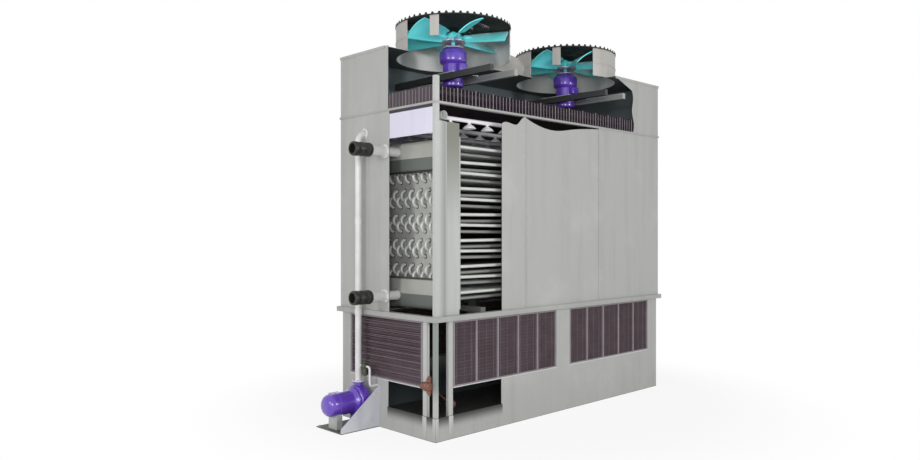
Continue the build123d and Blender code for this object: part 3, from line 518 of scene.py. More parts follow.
class Hose:
    # a round tube that grows from its last ring of edges
    def __init__(self, mesh, start, heading, radius, sides=12):
        spot = Matrix.Translation(start) @ turnTo(heading)
        made = bmesh.ops.create_circle(mesh, cap_ends=False, radius=radius, segments=sides, matrix=spot)
        self.mesh = mesh
        self.ring = self.firstRing = rimsOf(made["verts"])

    def run(self, step):
        points, self.ring = growRow(self.mesh, self.ring)
        bmesh.ops.translate(self.mesh, verts=points, vec=step)

    def bend(self, centre, axis, degrees, steps=8):
        points = list(dict.fromkeys(vert for rim in self.ring for vert in rim.verts))
        made = bmesh.ops.spin(self.mesh, geom=self.ring + points, cent=centre, axis=axis, dvec=(0, 0, 0),
                              angle=math.radians(degrees), steps=steps, use_merge=False, use_duplicate=False)
        self.ring = [item for item in made["geom_last"] if isinstance(item, bmesh.types.BMEdge)]

    def close(self):
        bmesh.ops.edgeloop_fill(self.mesh, edges=self.firstRing)
        bmesh.ops.edgeloop_fill(self.mesh, edges=self.ring)


def addPiece(name, mesh, finishName, body="casing", replaced=(), crease=35.0):
    bmesh.ops.recalc_face_normals(mesh, faces=mesh.faces)
    data = bpy.data.meshes.new(name)
    mesh.to_mesh(data)
    mesh.free()
    data.shade_smooth()
    data.set_sharp_from_angle(angle=math.radians(crease))
    data.materials.append(finishes[finishName].material)
    piece = bpy.data.objects.new(name, data)
    bpy.context.scene.collection.objects.link(piece)
    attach(piece, body)
    if replaced:
        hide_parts(*replaced)
    print("piece:", name, len(data.polygons), "faces")


# coil

coil = {
    "columns": 22, "passes": 12, "pitch": 0.058, "drop": 0.024, "bend": 0.092, "stagger": 0.058, "top": 2.556,
    "near": -1.485, "far": 1.655, "headerFace": -1.5147, "radius": 0.0145, "sides": 10, "bendSteps": 8,
    "weld": ((0.0145, 0.007), (0.0185, 0.001), (0.0185, 0.0)),
    "sleeve": ((0.0145, 0.003), (0.0195, 0.003), (0.0215, 0.0)), "ringSides": 12,
}
firstTube = -(coil["columns"] - 1) / 2 * coil["pitch"]
passStep = coil["drop"] + coil["bend"]
lastLevel = coil["top"] - coil["passes"] * passStep + coil["bend"]


def addTubeRings(mesh, profile, x, way, levels):
    # a ring round every tube; every other column sits lower
    for count in range(coil["columns"]):
        for level in levels:
            spot = (x, firstTube + count * coil["pitch"], level - coil["stagger"] * (count % 2))
            addLathe(mesh, profile, spot, (way, 0, 0), coil["ringSides"])


def buildCoil():
    mesh = bmesh.new()
    level = coil["top"]
    hose = Hose(mesh, (coil["headerFace"], firstTube, level), (1, 0, 0), coil["radius"], coil["sides"])
    hose.run((coil["near"] - coil["headerFace"], 0, 0))
    x = coil["near"]
    half = coil["bend"] / 2
    for count in range(coil["passes"]):
        way = 1 if count % 2 == 0 else -1
        last = count == coil["passes"] - 1
        stopAt = coil["far"] if way > 0 else coil["near"]
        if not last:
            stopAt -= way * half
        hose.run((stopAt - x, 0, -coil["drop"]))
        x = stopAt
        level -= coil["drop"]
        if not last:
            hose.bend((x, firstTube, level - half), (0, 1, 0), way * 180, coil["bendSteps"])
            level -= coil["bend"]
    hose.run((coil["headerFace"] - x, 0, 0))
    for number, points in copies(mesh, coil["columns"]):
        step = (0, number * coil["pitch"], -coil["stagger"] * (number % 2))
        bmesh.ops.translate(mesh, verts=points, vec=step)
    addPiece("coilTubesRound", mesh, "coilSteel", replaced=("coil_tubes",), crease=60)
    mesh = bmesh.new()
    addTubeRings(mesh, coil["weld"], coil["headerFace"], 1, (coil["top"], lastLevel))
    addPiece("tubeWelds", mesh, "weldSteel")


endSheet = {
    "face": -1.4355, "thick": 0.003, "front": -0.6612, "back": 0.6832, "low": 1.118, "high": 2.632,
    "flange": 0.032, "edge": 0.0006,
}


def buildEndSheet():
    # the sheet that the tubes pass through, with flanges at front and back and a dark sleeve for each tube,
    # whose dark colour also stands in for the shadows at the ends of the bends
    mesh = bmesh.new()
    keys = ("face", "thick", "front", "back", "low", "high", "flange", "edge")
    face, thick, front, back, low, high, flange, edge = (endSheet[key] for key in keys)
    addSlab(mesh, (face, front, low), (face + thick, back, high), edge)
    for y in (front, back - thick):
        addSlab(mesh, (face - flange, y, low), (face + thick / 2, y + thick, high), edge)
    addPiece("coilEndSheet", mesh, "endSheetSteel")
    levels = [coil["top"]]
    for count in range(1, coil["passes"] // 2):
        lower = coil["top"] - 2 * count * passStep
        levels += [lower + coil["bend"], lower]
    # dark sleeves: real rings, with their dark colour standing in for painted shadow at the bends' ends
    mesh = bmesh.new()
    addTubeRings(mesh, coil["sleeve"], face, -1, levels + [lastLevel])
    addPiece("tubeShadowSleeves", mesh, "capRubber")


header = {
    "spans": ((2.335, 2.615), (1.105, 1.385)), "back": -1.605, "face": -1.5152, "end": 0.634, "round": 0.04,
    "segments": 6, "plugInset": (0.05, 0.06),
    "plug": ((0.0, 0.0), (0.016, 0.0), (0.016, 0.01), (0.011, 0.016), (0.0, 0.016)),
}


def buildHeaders():
    # pressed box headers with well rounded long edges, and plugs at their ends
    mesh = bmesh.new()
    plugs = bmesh.new()
    back, end = header["back"], header["end"]
    insetY, insetZ = header["plugInset"]
    for low, high in header["spans"]:
        addSlab(mesh, (back, -end, low), (header["face"], end, high), header["round"], header["segments"])
        for y in (insetY - end, end - insetY):
            for level in (high - insetZ, low + insetZ):
                addLathe(plugs, header["plug"], (back, y, level), (-1, 0, 0), 12)
    addPiece("coilHeadersPressed", mesh, "headerSteel", replaced=("coil_headers",), crease=70)
    addPiece("headerPlugs", plugs, "weldSteel")


buildCoil()
buildEndSheet()
buildHeaders()


# refrigerant connections

connection = {
    "levels": (2.534, 1.214), "radius": 0.0445, "bore": 0.04, "inner": -1.605, "end": -2.013, "steps": 32,
    "wall": -1.755,
    "ring": ((0.0445, 0), (0.062, 0), (0.062, 0.006), (0.059, 0.009), (0.0445, 0.009), (0.0445, 0)),
    "ringDepth": 0.009, "boltCircle": (0.053, 6, 30), "boltSize": (0.0055, 0.004),
    "couplingSpan": (-1.923, -2.119), "couplingRadius": 0.0635, "padHalf": (0.045, 0.008, 0.016),
    "padEdge": 0.005,
    "couplingHalf": (
        (0.0448, 0), (0.0515, 0), (0.0595, 0.003), (0.0635, 0.011), (0.0635, 0.05), (0.0595, 0.056),
        (0.0595, 0.078), (0.0635, 0.084),
    ),
}


def buildConnections():
    pipes, bolts, couplings = bmesh.new(), bmesh.new(), bmesh.new()
    left = (-1, 0, 0)
    start, end = connection["couplingSpan"]
    outline = mirrored(connection["couplingHalf"], start - end)
    pipe = band(connection["bore"], connection["radius"], 0, connection["inner"] - connection["end"])
    padX, padY, padZ = connection["padHalf"]
    middle = (start + end) / 2
    for level in connection["levels"]:
        addLathe(pipes, pipe, (connection["inner"], 0, level), left, connection["steps"])
        addLathe(pipes, connection["ring"], (connection["wall"], 0, level), left, connection["steps"])
        face = (connection["wall"] - connection["ringDepth"], 0, level)
        addBolts(bolts, face, connection["boltCircle"], connection["boltSize"], left)
        addLathe(couplings, outline + outline[:1], (start, 0, level), left, 36)
        for side in (-1, 1):  # the two bolted pads of the clamp
            y = side * (connection["couplingRadius"] - 0.001)
            lows, highs = (middle - padX, y - padY, level - padZ), (middle + padX, y + padY, level + padZ)
            addSlab(couplings, lows, highs, connection["padEdge"], 3)
    addPiece("connectionPipesRound", pipes, "pipeWhite", replaced=("connection_pipes",))
    addPiece("connectionRingBolts", bolts, "boltZinc")
    addPiece("couplingsRibbed", couplings, "capRubber", replaced=("couplings",))


buildConnections()


# spray water

spray = {
    "headerX": -1.631, "level": 2.805, "headerRadius": 0.038, "headerBore": 0.0345, "headerEnd": 0.6675,
    "headerChamfer": 0.001, "branchRadius": 0.019, "rows": (-0.56, 0.0, 0.56), "start": -1.6, "end": 1.695,
    "nozzlePitch": 0.235,
    "nozzle": (
        (0, 0), (0.013, 0), (0.013, 0.012), (0.02, 0.018), (0.042, 0.032), (0.06, 0.052), (0.06, 0.057),
        (0.056, 0.057), (0.028, 0.036), (0, 0.032),
    ),
    "nozzleSink": 0.004,
}


def buildSpray():
    mesh = bmesh.new()
    keys = ("headerRadius", "headerBore", "headerEnd", "headerChamfer")
    r, bore, end, chamfer = (spray[key] for key in keys)
    half = [(bore, 0), (r - chamfer, 0), (r, chamfer)]
    outline = mirrored(half, 2 * end)
    addLathe(mesh, outline + outline[:1], (spray["headerX"], -end, spray["level"]), (0, 1, 0), 40)
    addPiece("sprayHeaderRound", mesh, "pipeWhite", replaced=("spray_header",))
    mesh = bmesh.new()
    nozzles = bmesh.new()
    branch, start, pitch = spray["branchRadius"], spray["start"], spray["nozzlePitch"]
    socket = branch + 0.006
    length = spray["end"] - start
    pipe = [
        (0, 0), (socket, 0), (socket, 0.022), (branch, 0.026), (branch, length - 0.012),
        (branch - 0.004, length), (0, length),
    ]
    for y in spray["rows"]:
        addLathe(mesh, pipe, (start, y, spray["level"]), (1, 0, 0), 20)
        for place in range(int(length / pitch)):
            spot = (start + (place + 0.6) * pitch, y, spray["level"] - branch + spray["nozzleSink"])
            addLathe(nozzles, spray["nozzle"], spot, (0, 0, -1), 16)
    addPiece("sprayBranchesRound", mesh, "branchWhite", replaced=("spray_branches",))
    addPiece("sprayNozzles", nozzles, "branchWhite")


buildSpray()


# riser and bleed line

riser = {
    "x": -1.828, "y": 0.3025, "low": 0.403, "radius": 0.03, "sides": 28, "entry": 2.722, "elbow": 0.085,
    "end": -1.571, "stubX": -1.631, "stub": ((0, 0.0), (0.022, 0.0), (0.022, 0.045)), "joints": (1.05, 1.9),
    "joint": ((0.03, -0.03), (0.0335, -0.028), (0.0335, 0.028), (0.03, 0.03)),
    "flange": (
        (0.03, 0), (0.056, 0), (0.058, 0.002), (0.058, 0.01), (0.056, 0.012), (0.034, 0.013), (0.03, 0.03),
    ),
    "flangeTop": 0.012, "boltCircle": (0.046, 4, 45), "boltSize": (0.0065, 0.006), "collarX": -1.7552,
    "collar": ((0.031, 0), (0.05, 0), (0.05, 0.004), (0.046, 0.007), (0.031, 0.007)),
}
bleed = {
    "radius": 0.011, "level": 0.556, "y": 0.1275, "low": 0.381, "end": -1.74, "elbow": 0.026, "sink": 0.004,
    "valveY": 0.2325, "valveEnd": 0.1725,
    "valveHalf": ((0.011, 0), (0.022, 0), (0.022, 0.01), (0.027, 0.014), (0.034, 0.024)),
    "bonnet": (
        (0.0, 0.0), (0.024, 0.0), (0.024, 0.05), (0.03, 0.054), (0.03, 0.07), (0.018, 0.078), (0.0, 0.078),
    ),
    "leverLow": (-0.008, -0.06, 0.036), "leverHigh": (0.008, 0.012, 0.043), "stem": (0.009, 0.02, 12),
}


def buildRiser():
    mesh = bmesh.new()
    x, y, elbow, entry, sides = riser["x"], riser["y"], riser["elbow"], riser["entry"], riser["sides"]
    foot = (x, y, riser["low"])
    hose = Hose(mesh, foot, (0, 0, 1), riser["radius"], sides)
    hose.run((0, 0, entry - elbow - riser["low"]))
    hose.bend((x + elbow, y, entry - elbow), (0, 1, 0), 90, 10)
    hose.run((riser["end"] - x - elbow, 0, 0))
    hose.close()
    addLathe(mesh, riser["stub"], (riser["stubX"], y, entry), steps=20)
    for level in riser["joints"]:  # socket joints of the plastic pipe
        addLathe(mesh, riser["joint"], (x, y, level), steps=sides)
    addLathe(mesh, riser["flange"], foot, steps=sides)
    addLathe(mesh, riser["collar"], (riser["collarX"], y, entry), (-1, 0, 0), sides)
    addPiece("riserPipeRound", mesh, "pipeWhite", replaced=("riser_pipe",))
    mesh = bmesh.new()
    addBolts(mesh, (x, y, riser["low"] + riser["flangeTop"]), riser["boltCircle"], riser["boltSize"])
    addPiece("riserFlangeBolts", mesh, "boltZinc")


def buildBleed():
    mesh = bmesh.new()
    x, y, elbow, level, low = riser["x"], bleed["y"], bleed["elbow"], bleed["level"], bleed["low"]
    start = riser["y"] - riser["radius"] + bleed["sink"]
    hose = Hose(mesh, (x, start, level), (0, -1, 0), bleed["radius"], 16)
    hose.run((0, y + elbow - start, 0))
    hose.bend((x, y + elbow, level - elbow), (1, 0, 0), 90, 6)
    hose.run((0, 0, low - level + 2 * elbow))
    hose.bend((x + elbow, y, low + elbow), (0, -1, 0), 90, 6)
    hose.run((bleed["end"] - x - elbow, 0, 0))
    hose.close()
    addPiece("bleedPipeRound", mesh, "pipeWhite", replaced=("bleed_pipe",))
    mesh = bmesh.new()
    length = bleed["valveY"] - bleed["valveEnd"]
    addLathe(mesh, mirrored(bleed["valveHalf"], length), (x, bleed["valveY"], level), (0, -1, 0), 20)
    middle = Vector((x, (bleed["valveY"] + bleed["valveEnd"]) / 2, level))
    addLathe(mesh, bleed["bonnet"], middle + Vector((0, 0, -0.008)), (0, 0, -1), 20)
    addSlab(mesh, middle + Vector(bleed["leverLow"]), middle + Vector(bleed["leverHigh"]), 0.003)
    addPlug(mesh, middle + Vector((0, 0, 0.028)), (0, 0, 1), *bleed["stem"])
    addPiece("bleedValve", mesh, "oliveBronze", replaced=("bleed_pipe",))


buildRiser()
buildBleed()
print("stage: pipework made")


# pump

pump = {
    "y": 0.3025, "z": 0.225, "wall": -1.74, "back": -1.885, "steps": 48,
    "volute": (
        (0, 0), (0.07, 0), (0.07, 0.01), (0.052, 0.014), (0.052, 0.031), (0.118, 0.033), (0.138, 0.039),
        (0.146, 0.049), (0.148, 0.063), (0.148, 0.123), (0.146, 0.133), (0.14, 0.141), (0.13, 0.145),
        (0.106, 0.145), (0, 0.145),
    ),
    "neck": ((0.052, 0), (0.042, 0.118), (0.04, 0.162), (0.056, 0.165), (0.056, 0.177), (0, 0.177)),
    "motor": (
        (0, 0), (0.134, 0), (0.134, 0.012), (0.13, 0.022), (0.114, 0.034), (0.106, 0.048), (0.104, 0.06),
        (0.104, 0.198), (0.101, 0.201), (0.101, 0.207), (0.104, 0.21), (0.104, 0.248), (0.1, 0.272),
        (0.09, 0.294), (0.074, 0.309), (0.052, 0.316), (0.034, 0.318), (0, 0.318),
    ),
    "footX": (-1.857, -1.801), "footSide": 0.08, "footHalf": 0.022, "footZ": (0.009, 0.115),
    "box": ((-2.075, 0.3745, 0.255), (-1.965, 0.4405, 0.311)), "boxEdge": 0.012,
    "coverCircle": (0.122, 8, 22.5), "coverFace": -1.897, "boltSize": (0.008, 0.008), "baseX": (-2.14, -1.77),
    "baseY": (0.13, 0.47), "baseTop": 0.008, "washer": (0.014, 0.002, 20), "baseBolt": (0.01, 0.008),
    "motorFeet": (-2.085, 0.055, 0.0085), "footBolt": (0.007, 0.006),
}


def buildPump():
    y, z, left, up = pump["y"], pump["z"], (-1, 0, 0), (0, 0, 1)
    mesh = bmesh.new()
    addLathe(mesh, pump["volute"], (pump["wall"], y, z), left, pump["steps"])
    addLathe(mesh, pump["neck"], (riser["x"], y, z), up, 28)
    for side in (-1, 1):  # cast feet of the scroll
        foot = y + side * pump["footSide"]
        lows, highs = zip(pump["footX"], (foot - pump["footHalf"], foot + pump["footHalf"]), pump["footZ"])
        addSlab(mesh, lows, highs, 0.008, 3)
    addPiece("pumpVoluteCast", mesh, "motorPaint", replaced=("pump_volute",))
    mesh = bmesh.new()
    addLathe(mesh, pump["motor"], (pump["back"], y, z), left, pump["steps"])
    addSlab(mesh, *pump["box"], pump["boxEdge"], 3)
    addPiece("pumpMotorBody", mesh, "motorPaint", replaced=("pump_motor",))
    mesh = bmesh.new()
    addBolts(mesh, (pump["coverFace"], y, z), pump["coverCircle"], pump["boltSize"], left)
    addWasherBolts(mesh, pump["baseX"], pump["baseY"], pump["baseTop"], pump["washer"], pump["baseBolt"])
    footX, footSide, footTop = pump["motorFeet"]
    for side in (-1, 1):
        addPlug(mesh, (footX, y + side * footSide, footTop), up, *pump["footBolt"])
    addPiece("pumpBolts", mesh, "boltZinc")


buildPump()


# fans: stacks, guards, blades, hubs, motors

fan = {
    "centres": (-0.8925, 0.8925), "stackTop": 3.8, "stackRadius": 0.566, "seam": 3.64, "seamHalf": 0.004,
    "wallArcs": ((316.0, 536.0), (250.0, 536.0)), "stripArc": (204.0, 213.0), "bead": 0.006, "stepAngle": 4.0,
    "flangeWidth": 0.03, "flangeThick": 0.004, "boltPitch": 12, "boltSize": (0.006, 0.005),
}


def addArc(mesh, centre, profile, start, end):
    # profile swept between two angles and closed at both ends
    swing = math.radians(start)
    steps = max(2, round((end - start) / fan["stepAngle"]))
    side = (math.cos(swing), math.sin(swing), 0)
    addLathe(mesh, profile + profile[:1], centre, (0, 0, 1), steps, end - start, side)


def buildStackTrims():
    mesh = bmesh.new()
    bolts = bmesh.new()
    r, bead, width, thick = fan["stackRadius"], fan["bead"], fan["flangeWidth"], fan["flangeThick"]
    angles = [math.radians(angle) for angle in range(0, 360, 45)]
    rolled = [(r - 0.002 + bead * math.cos(angle), bead * math.sin(angle)) for angle in angles]
    rim, root = r + width, r + thick
    flange = [(r, 0.0), (rim, 0.0), (rim, thick), (root, thick), (root, width), (r, width)]
    seam = band(r, r + fan["seamHalf"], -fan["seamHalf"], fan["seamHalf"])[:-1]
    for x, (start, end) in zip(fan["centres"], fan["wallArcs"]):
        top = (x, 0, fan["stackTop"] - bead)
        addArc(mesh, top, rolled, start, end)
        addArc(mesh, top, rolled, *fan["stripArc"])
        low = max(start, 360.0)
        addArc(mesh, (x, 0, shell["deck"]), flange, low, end)
        addArc(mesh, (x, 0, fan["seam"]), seam, start, end)
        pitch = fan["boltPitch"]
        circle = (r + width * 0.6, int((end - low) / pitch), low + pitch / 2, pitch)
        addBolts(bolts, (x, 0, shell["deck"] + thick), circle, fan["boltSize"])
    addPiece("stackTrims", mesh, "stackSheet", crease=50)
    addPiece("stackBolts", bolts, "boltZinc")


guard = {
    "rings": 26, "inner": 0.09, "outer": 0.566, "wire": 0.0034, "spokes": 54,
    "starts": (0.09, 0.36, 0.2, 0.36), "rise": 0.006, "rim": (0.56, 0.57, -0.006, 0.004),
    "hub": ((0, 0.001), (0.094, 0.001), (0.094, 0.004), (0, 0.006)), "coarse": 30, "fine": 54,
    "coarseBelow": 0.3, "overlap": 0.004, "clipWide": 0.02, "clipTop": 0.009, "clipFlat": 0.32,
}


def buildGuards():
    low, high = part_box("fan_guards")
    mesh = bmesh.new()
    clips = bmesh.new()
    wire, inner, outer = guard["wire"], guard["inner"], guard["outer"]
    level = low.z + guard["rise"]
    gap = (outer - inner) / guard["rings"]
    clipTall = high.z - low.z - 0.001
    flat = Matrix.Diagonal((guard["clipFlat"], 1.0, 1.0, 1.0)) @ Matrix.Rotation(math.radians(45), 4, "Z")
    for x in fan["centres"]:
        for count in range(guard["rings"] + 1):
            r = inner + gap * count
            ring = [(r + wire, 0), (r, wire), (r - wire, 0), (r, -wire), (r + wire, 0)]
            steps = guard["fine"] if r > guard["coarseBelow"] else guard["coarse"]
            addLathe(mesh, ring, (x, 0, level + wire), steps=steps)
        addLathe(mesh, band(*guard["rim"]), (x, 0, level), steps=guard["fine"])
        centre = Vector((x, 0, level - wire * 0.6))
        for count in range(guard["spokes"] * 4):
            swing = math.radians(90 / guard["spokes"] * count)
            way = Vector((math.cos(swing), math.sin(swing), 0))
            start = guard["starts"][count % 4]
            hose = Hose(mesh, centre + way * start, way, wire * 0.9, 4)
            hose.run(way * (outer + guard["overlap"] - start))
            hose.close()
            if count % 4 == 0:  # each whole spoke ends in an upright clip on the rim
                spot = centre + way * (outer + 0.001)
                stand = Matrix.Translation((spot.x, spot.y, (high.z + low.z) / 2))
                turned = stand @ Matrix.Rotation(swing, 4, "Z") @ flat
                bmesh.ops.create_cone(
                    clips, cap_ends=True, cap_tris=False, segments=8, radius1=guard["clipWide"],
                    radius2=guard["clipTop"], depth=clipTall, matrix=turned)
        addLathe(mesh, guard["hub"], (x, 0, level), steps=guard["coarse"])
    addPiece("fanGuardsWire", mesh, "guardWire", replaced=("fan_guards",), crease=50)
    addPiece("guardClips", clips, "guardWire", crease=60)


blade = {
    "count": 6, "pivot": 3.708, "root": 0.128, "tip": 0.544, "rows": 9, "columns": 10, "thickness": 0.008,
    "rootFront": 0.05, "rootChord": 0.145, "tipChord": 0.29, "rootPitch": 40.0, "tipPitch": 31.0,
    "camber": 0.022, "ease": 0.8, "shankRise": 0.004,
    "shank": (
        (0.0, 0.072), (0.02, 0.072), (0.02, 0.112), (0.026, 0.116), (0.026, 0.14), (0.018, 0.15),
        (0.012, 0.19), (0.0, 0.196),
    ),
}


def eased(first, last, row):
    return first + (last - first) * (row / blade["rows"]) ** blade["ease"]


def turnBlade(mesh, points, centre, degrees, axis):
    turn = Matrix.Rotation(math.radians(degrees), 3, axis)
    bmesh.ops.rotate(mesh, verts=points, cent=centre, matrix=turn)


def buildBlades(number):
    # the root's curved edge is drawn out row by row, wider and flatter to the tip
    x = fan["centres"][number - 1]
    mesh = bmesh.new()
    pivot, root, tip, camber = blade["pivot"], blade["root"], blade["tip"], blade["camber"]
    centre = (x, 0, pivot)
    places = []
    for count in range(blade["columns"] + 1):
        share = count / blade["columns"]
        rise = camber * 4 * share * (1 - share) - camber * 0.7
        places.append((x + root, blade["rootChord"] * share - blade["rootFront"], pivot + rise))
    points, edges = addLine(mesh, places)
    turnBlade(mesh, points, centre, blade["rootPitch"], "X")
    for row in range(1, blade["rows"] + 1):
        pitchWas, pitch = (eased(blade["rootPitch"], blade["tipPitch"], at) for at in (row - 1, row))
        chordWas, chord = (eased(blade["rootChord"], blade["tipChord"], at) for at in (row - 1, row))
        points, edges = growRow(mesh, edges)
        bmesh.ops.translate(mesh, verts=points, vec=((tip - root) / blade["rows"], 0, 0))
        turnBlade(mesh, points, centre, -pitchWas, "X")
        aside = Matrix.Translation((0, 0, -pivot))
        bmesh.ops.scale(mesh, verts=points, vec=(1, chord / chordWas, 1), space=aside)
        turnBlade(mesh, points, centre, pitch, "X")
    for vert in mesh.verts:
        out = Vector((vert.co.x - x, vert.co.y, 0))
        if out.length > tip:  # the tip follows the stack's circle
            bmesh.ops.translate(mesh, verts=[vert], vec=out * (tip / out.length - 1))
    faces = list(mesh.faces)
    bmesh.ops.recalc_face_normals(mesh, faces=faces)
    bmesh.ops.solidify(mesh, geom=faces, thickness=blade["thickness"])
    addLathe(mesh, blade["shank"], (x, 0, pivot + blade["shankRise"]), (1, 0, 0), 16)
    for place, points in copies(mesh, blade["count"]):
        turnBlade(mesh, points, (x, 0, 0), 360 / blade["count"] * place, "Z")
    rotor, replaced = f"fan_rotor_{number}", (f"fan_blades_{number}",)
    addPiece(f"fanBladesTwisted{number}", mesh, "bladePaint", rotor, replaced, 50)


hub = {
    "level": 3.75,
    "cap": (
        (0, 0.03), (0.02, 0.029), (0.026, 0.024), (0.026, 0.01), (0.056, 0.008), (0.06, 0.004), (0.06, 0.0),
        (0, 0.0),
    ),
    "capBolts": (0.043, 6, 0), "capTop": 3.758, "discBolts": (0.104, 12, 15), "discTop": 3.69,
    "discLow": 3.67, "boltSize": (0.006, 0.006),
    "ring": (
        (0.03, 3.67), (0.122, 3.67), (0.128, 3.673), (0.13, 3.679), (0.128, 3.686), (0.118, 3.69),
        (0.08, 3.69), (0.08, 3.684), (0.08, 3.676), (0.03, 3.676), (0.03, 3.67),
    ),
}


def buildHub(number):
    x = fan["centres"][number - 1]
    rotor = f"fan_rotor_{number}"
    mesh = bmesh.new()
    addLathe(mesh, hub["cap"], (x, 0, hub["level"]))
    addBolts(mesh, (x, 0, hub["capTop"]), hub["capBolts"], hub["boltSize"])
    addPiece(f"hubCap{number}", mesh, "bladePaint", rotor)
    mesh = bmesh.new()
    for level, way in ((hub["discTop"], 1), (hub["discLow"], -1)):
        addBolts(mesh, (x, 0, level), hub["discBolts"], hub["boltSize"], (0, 0, way))
    addPiece(f"hubBolts{number}", mesh, "boltZinc", rotor)
    mesh = bmesh.new()
    addLathe(mesh, hub["ring"], (x, 0, 0), steps=40)
    addPiece(f"hubRing{number}", mesh, "crownSteel", rotor)


motor = {
    "low": 3.222,
    "body": (
        (0, 0), (0.07, 0), (0.09, 0.004), (0.101, 0.013), (0.105, 0.028), (0.105, 0.04), (0.102, 0.043),
        (0.102, 0.048), (0.105, 0.051), (0.105, 0.226), (0.113, 0.236), (0.127, 0.244), (0.134, 0.258),
        (0.136, 0.276), (0.136, 0.32), (0.133, 0.344), (0.124, 0.362), (0.108, 0.376), (0.086, 0.384),
        (0.07, 0.386), (0.06, 0.392), (0.06, 0.412), (0.052, 0.418), (0.026, 0.418), (0, 0.418),
    ),
    "box": ((-0.05, -0.149, 3.372), (0.05, -0.085, 3.45), 0.01, 3),
    "lid": ((-0.043, -0.154, 3.379), (0.043, -0.148, 3.443), 0.002, 2), "crownLow": 3.611,
    "crown": (
        (0.052, 0.0), (0.096, 0.0), (0.1, 0.003), (0.1, 0.009), (0.096, 0.012), (0.052, 0.012), (0.052, 0.0),
    ),
    "crownBolts": (0.084, 8, 0), "crownBoltSize": (0.008, 0.012), "crownTop": 3.623, "plateTop": 3.338,
    "plateSpots": (0.165, 0.17), "washer": (0.016, 0.002, 20), "plateBolt": (0.011, 0.009),
    "footBolts": (0.128, 4, 45), "footBoltSize": (0.008, 0.008),
}


def buildMotors():
    mesh, crowns, bolts = bmesh.new(), bmesh.new(), bmesh.new()
    top = motor["plateTop"]
    besideX, besideY = motor["plateSpots"]
    for x in fan["centres"]:
        addLathe(mesh, motor["body"], (x, 0, motor["low"]), steps=48)
        for low, high, edge, segments in (motor["box"], motor["lid"]):
            addSlab(mesh, Vector(low) + Vector((x, 0, 0)), Vector(high) + Vector((x, 0, 0)), edge, segments)
        addLathe(crowns, motor["crown"], (x, 0, motor["crownLow"]), steps=40)
        addBolts(crowns, (x, 0, motor["crownTop"]), motor["crownBolts"], motor["crownBoltSize"])
        corners = (x - besideX, x + besideX), (-besideY, besideY)
        addWasherBolts(bolts, *corners, top, motor["washer"], motor["plateBolt"])
        addBolts(bolts, (x, 0, top), motor["footBolts"], motor["footBoltSize"])
    addPiece("fanMotorsTurned", mesh, "motorPaint", replaced=("fan_motors",))
    addPiece("motorCrowns", crowns, "crownSteel")
    addPiece("motorPlateBolts", bolts, "boltZinc")


buildStackTrims()
buildGuards()
for number in (1, 2):
    buildBlades(number)
    buildHub(number)
buildMotors()
print("stage: fans made")


# drift eliminators

slat = {
    "low": 2.915, "high": 3.055, "pitch": 0.045, "halfLength": 1.748, "halfDepth": 0.683, "inset": 0.004,
    "thick": 0.0022, "wave": 0.013, "levels": (0, 0.25, 0.5, 0.75, 1), "combs": (0.2, 0.5, 0.8),
    "combHalf": 0.004, "combSpan": (0.012, 0.02),
    "packs": ((-1.748, -0.586), (-0.582, 0.582), (0.586, 1.748)),
    "plates": (-1.7495, -0.5855, 0.5825, 1.7465), "plateThick": 0.003, "broad": 0.0052, "narrow": 0.0032,
    "short": 0.012, "endProud": 0.0015,
}


def buildEliminators():
    mesh = bmesh.new()
    low, high, wave, pitch = slat["low"], slat["high"], slat["wave"], slat["pitch"]
    length, depth, inset = slat["halfLength"], slat["halfDepth"], slat["inset"]
    count = int(2 * length / pitch)
    start = -(count - 1) / 2 * pitch
    places = []
    for place, share in enumerate(slat["levels"]):
        places.append((start + wave * (place % 2 - 0.5), inset - depth, low + (high - low) * share))
    points = growRow(mesh, addLine(mesh, places)[1])[0]
    bmesh.ops.translate(mesh, verts=points, vec=(0, 2 * (depth - inset), 0))
    bmesh.ops.solidify(mesh, geom=list(mesh.faces), thickness=slat["thick"])
    for number, points in copies(mesh, count):
        bmesh.ops.translate(mesh, verts=points, vec=(number * pitch, 0, 0))
    # spacer combs along each pack, and the packs' end plates
    half, (combLow, combHigh) = slat["combHalf"], slat["combSpan"]
    for share in slat["combs"]:
        y = 2 * depth * share - depth
        for x0, x1 in slat["packs"]:
            addSlab(mesh, (x0, y - half, low + combLow), (x1, y + half, low + combHigh))
    for x in slat["plates"]:
        addSlab(mesh, (x, inset - depth, low + 0.001), (x + slat["plateThick"], depth - inset, high - 0.001))
    replaced = ("drift_eliminators",)
    addPiece("eliminatorSlats", mesh, "slatPlastic", replaced=replaced, crease=20)
    # pale moulded edges of the slats at front and back, and ribs on the left and right end plates
    mesh = bmesh.new()
    for place in range(count):
        wide, top = (slat["narrow"], high - slat["short"]) if place % 5 else (slat["broad"], high)
        x = start + place * pitch
        for y in (0.002 - depth, depth - 0.002):
            addSlab(mesh, (x - wide, y - 0.002, low), (x + wide, y + 0.002, top))
    ribs = int(2 * depth / pitch)
    proud = slat["endProud"]
    for place in range(ribs):
        wide, top = (slat["narrow"], high - slat["short"]) if place % 4 else (slat["broad"], high)
        y = (place - (ribs - 1) / 2) * pitch
        for x in (-length - proud, length + proud):
            addSlab(mesh, (x - proud, y - wide, low), (x + proud, y + wide, top))
    addPiece("eliminatorEdges", mesh, "slatEdgePlastic")


buildEliminators()


# louvres

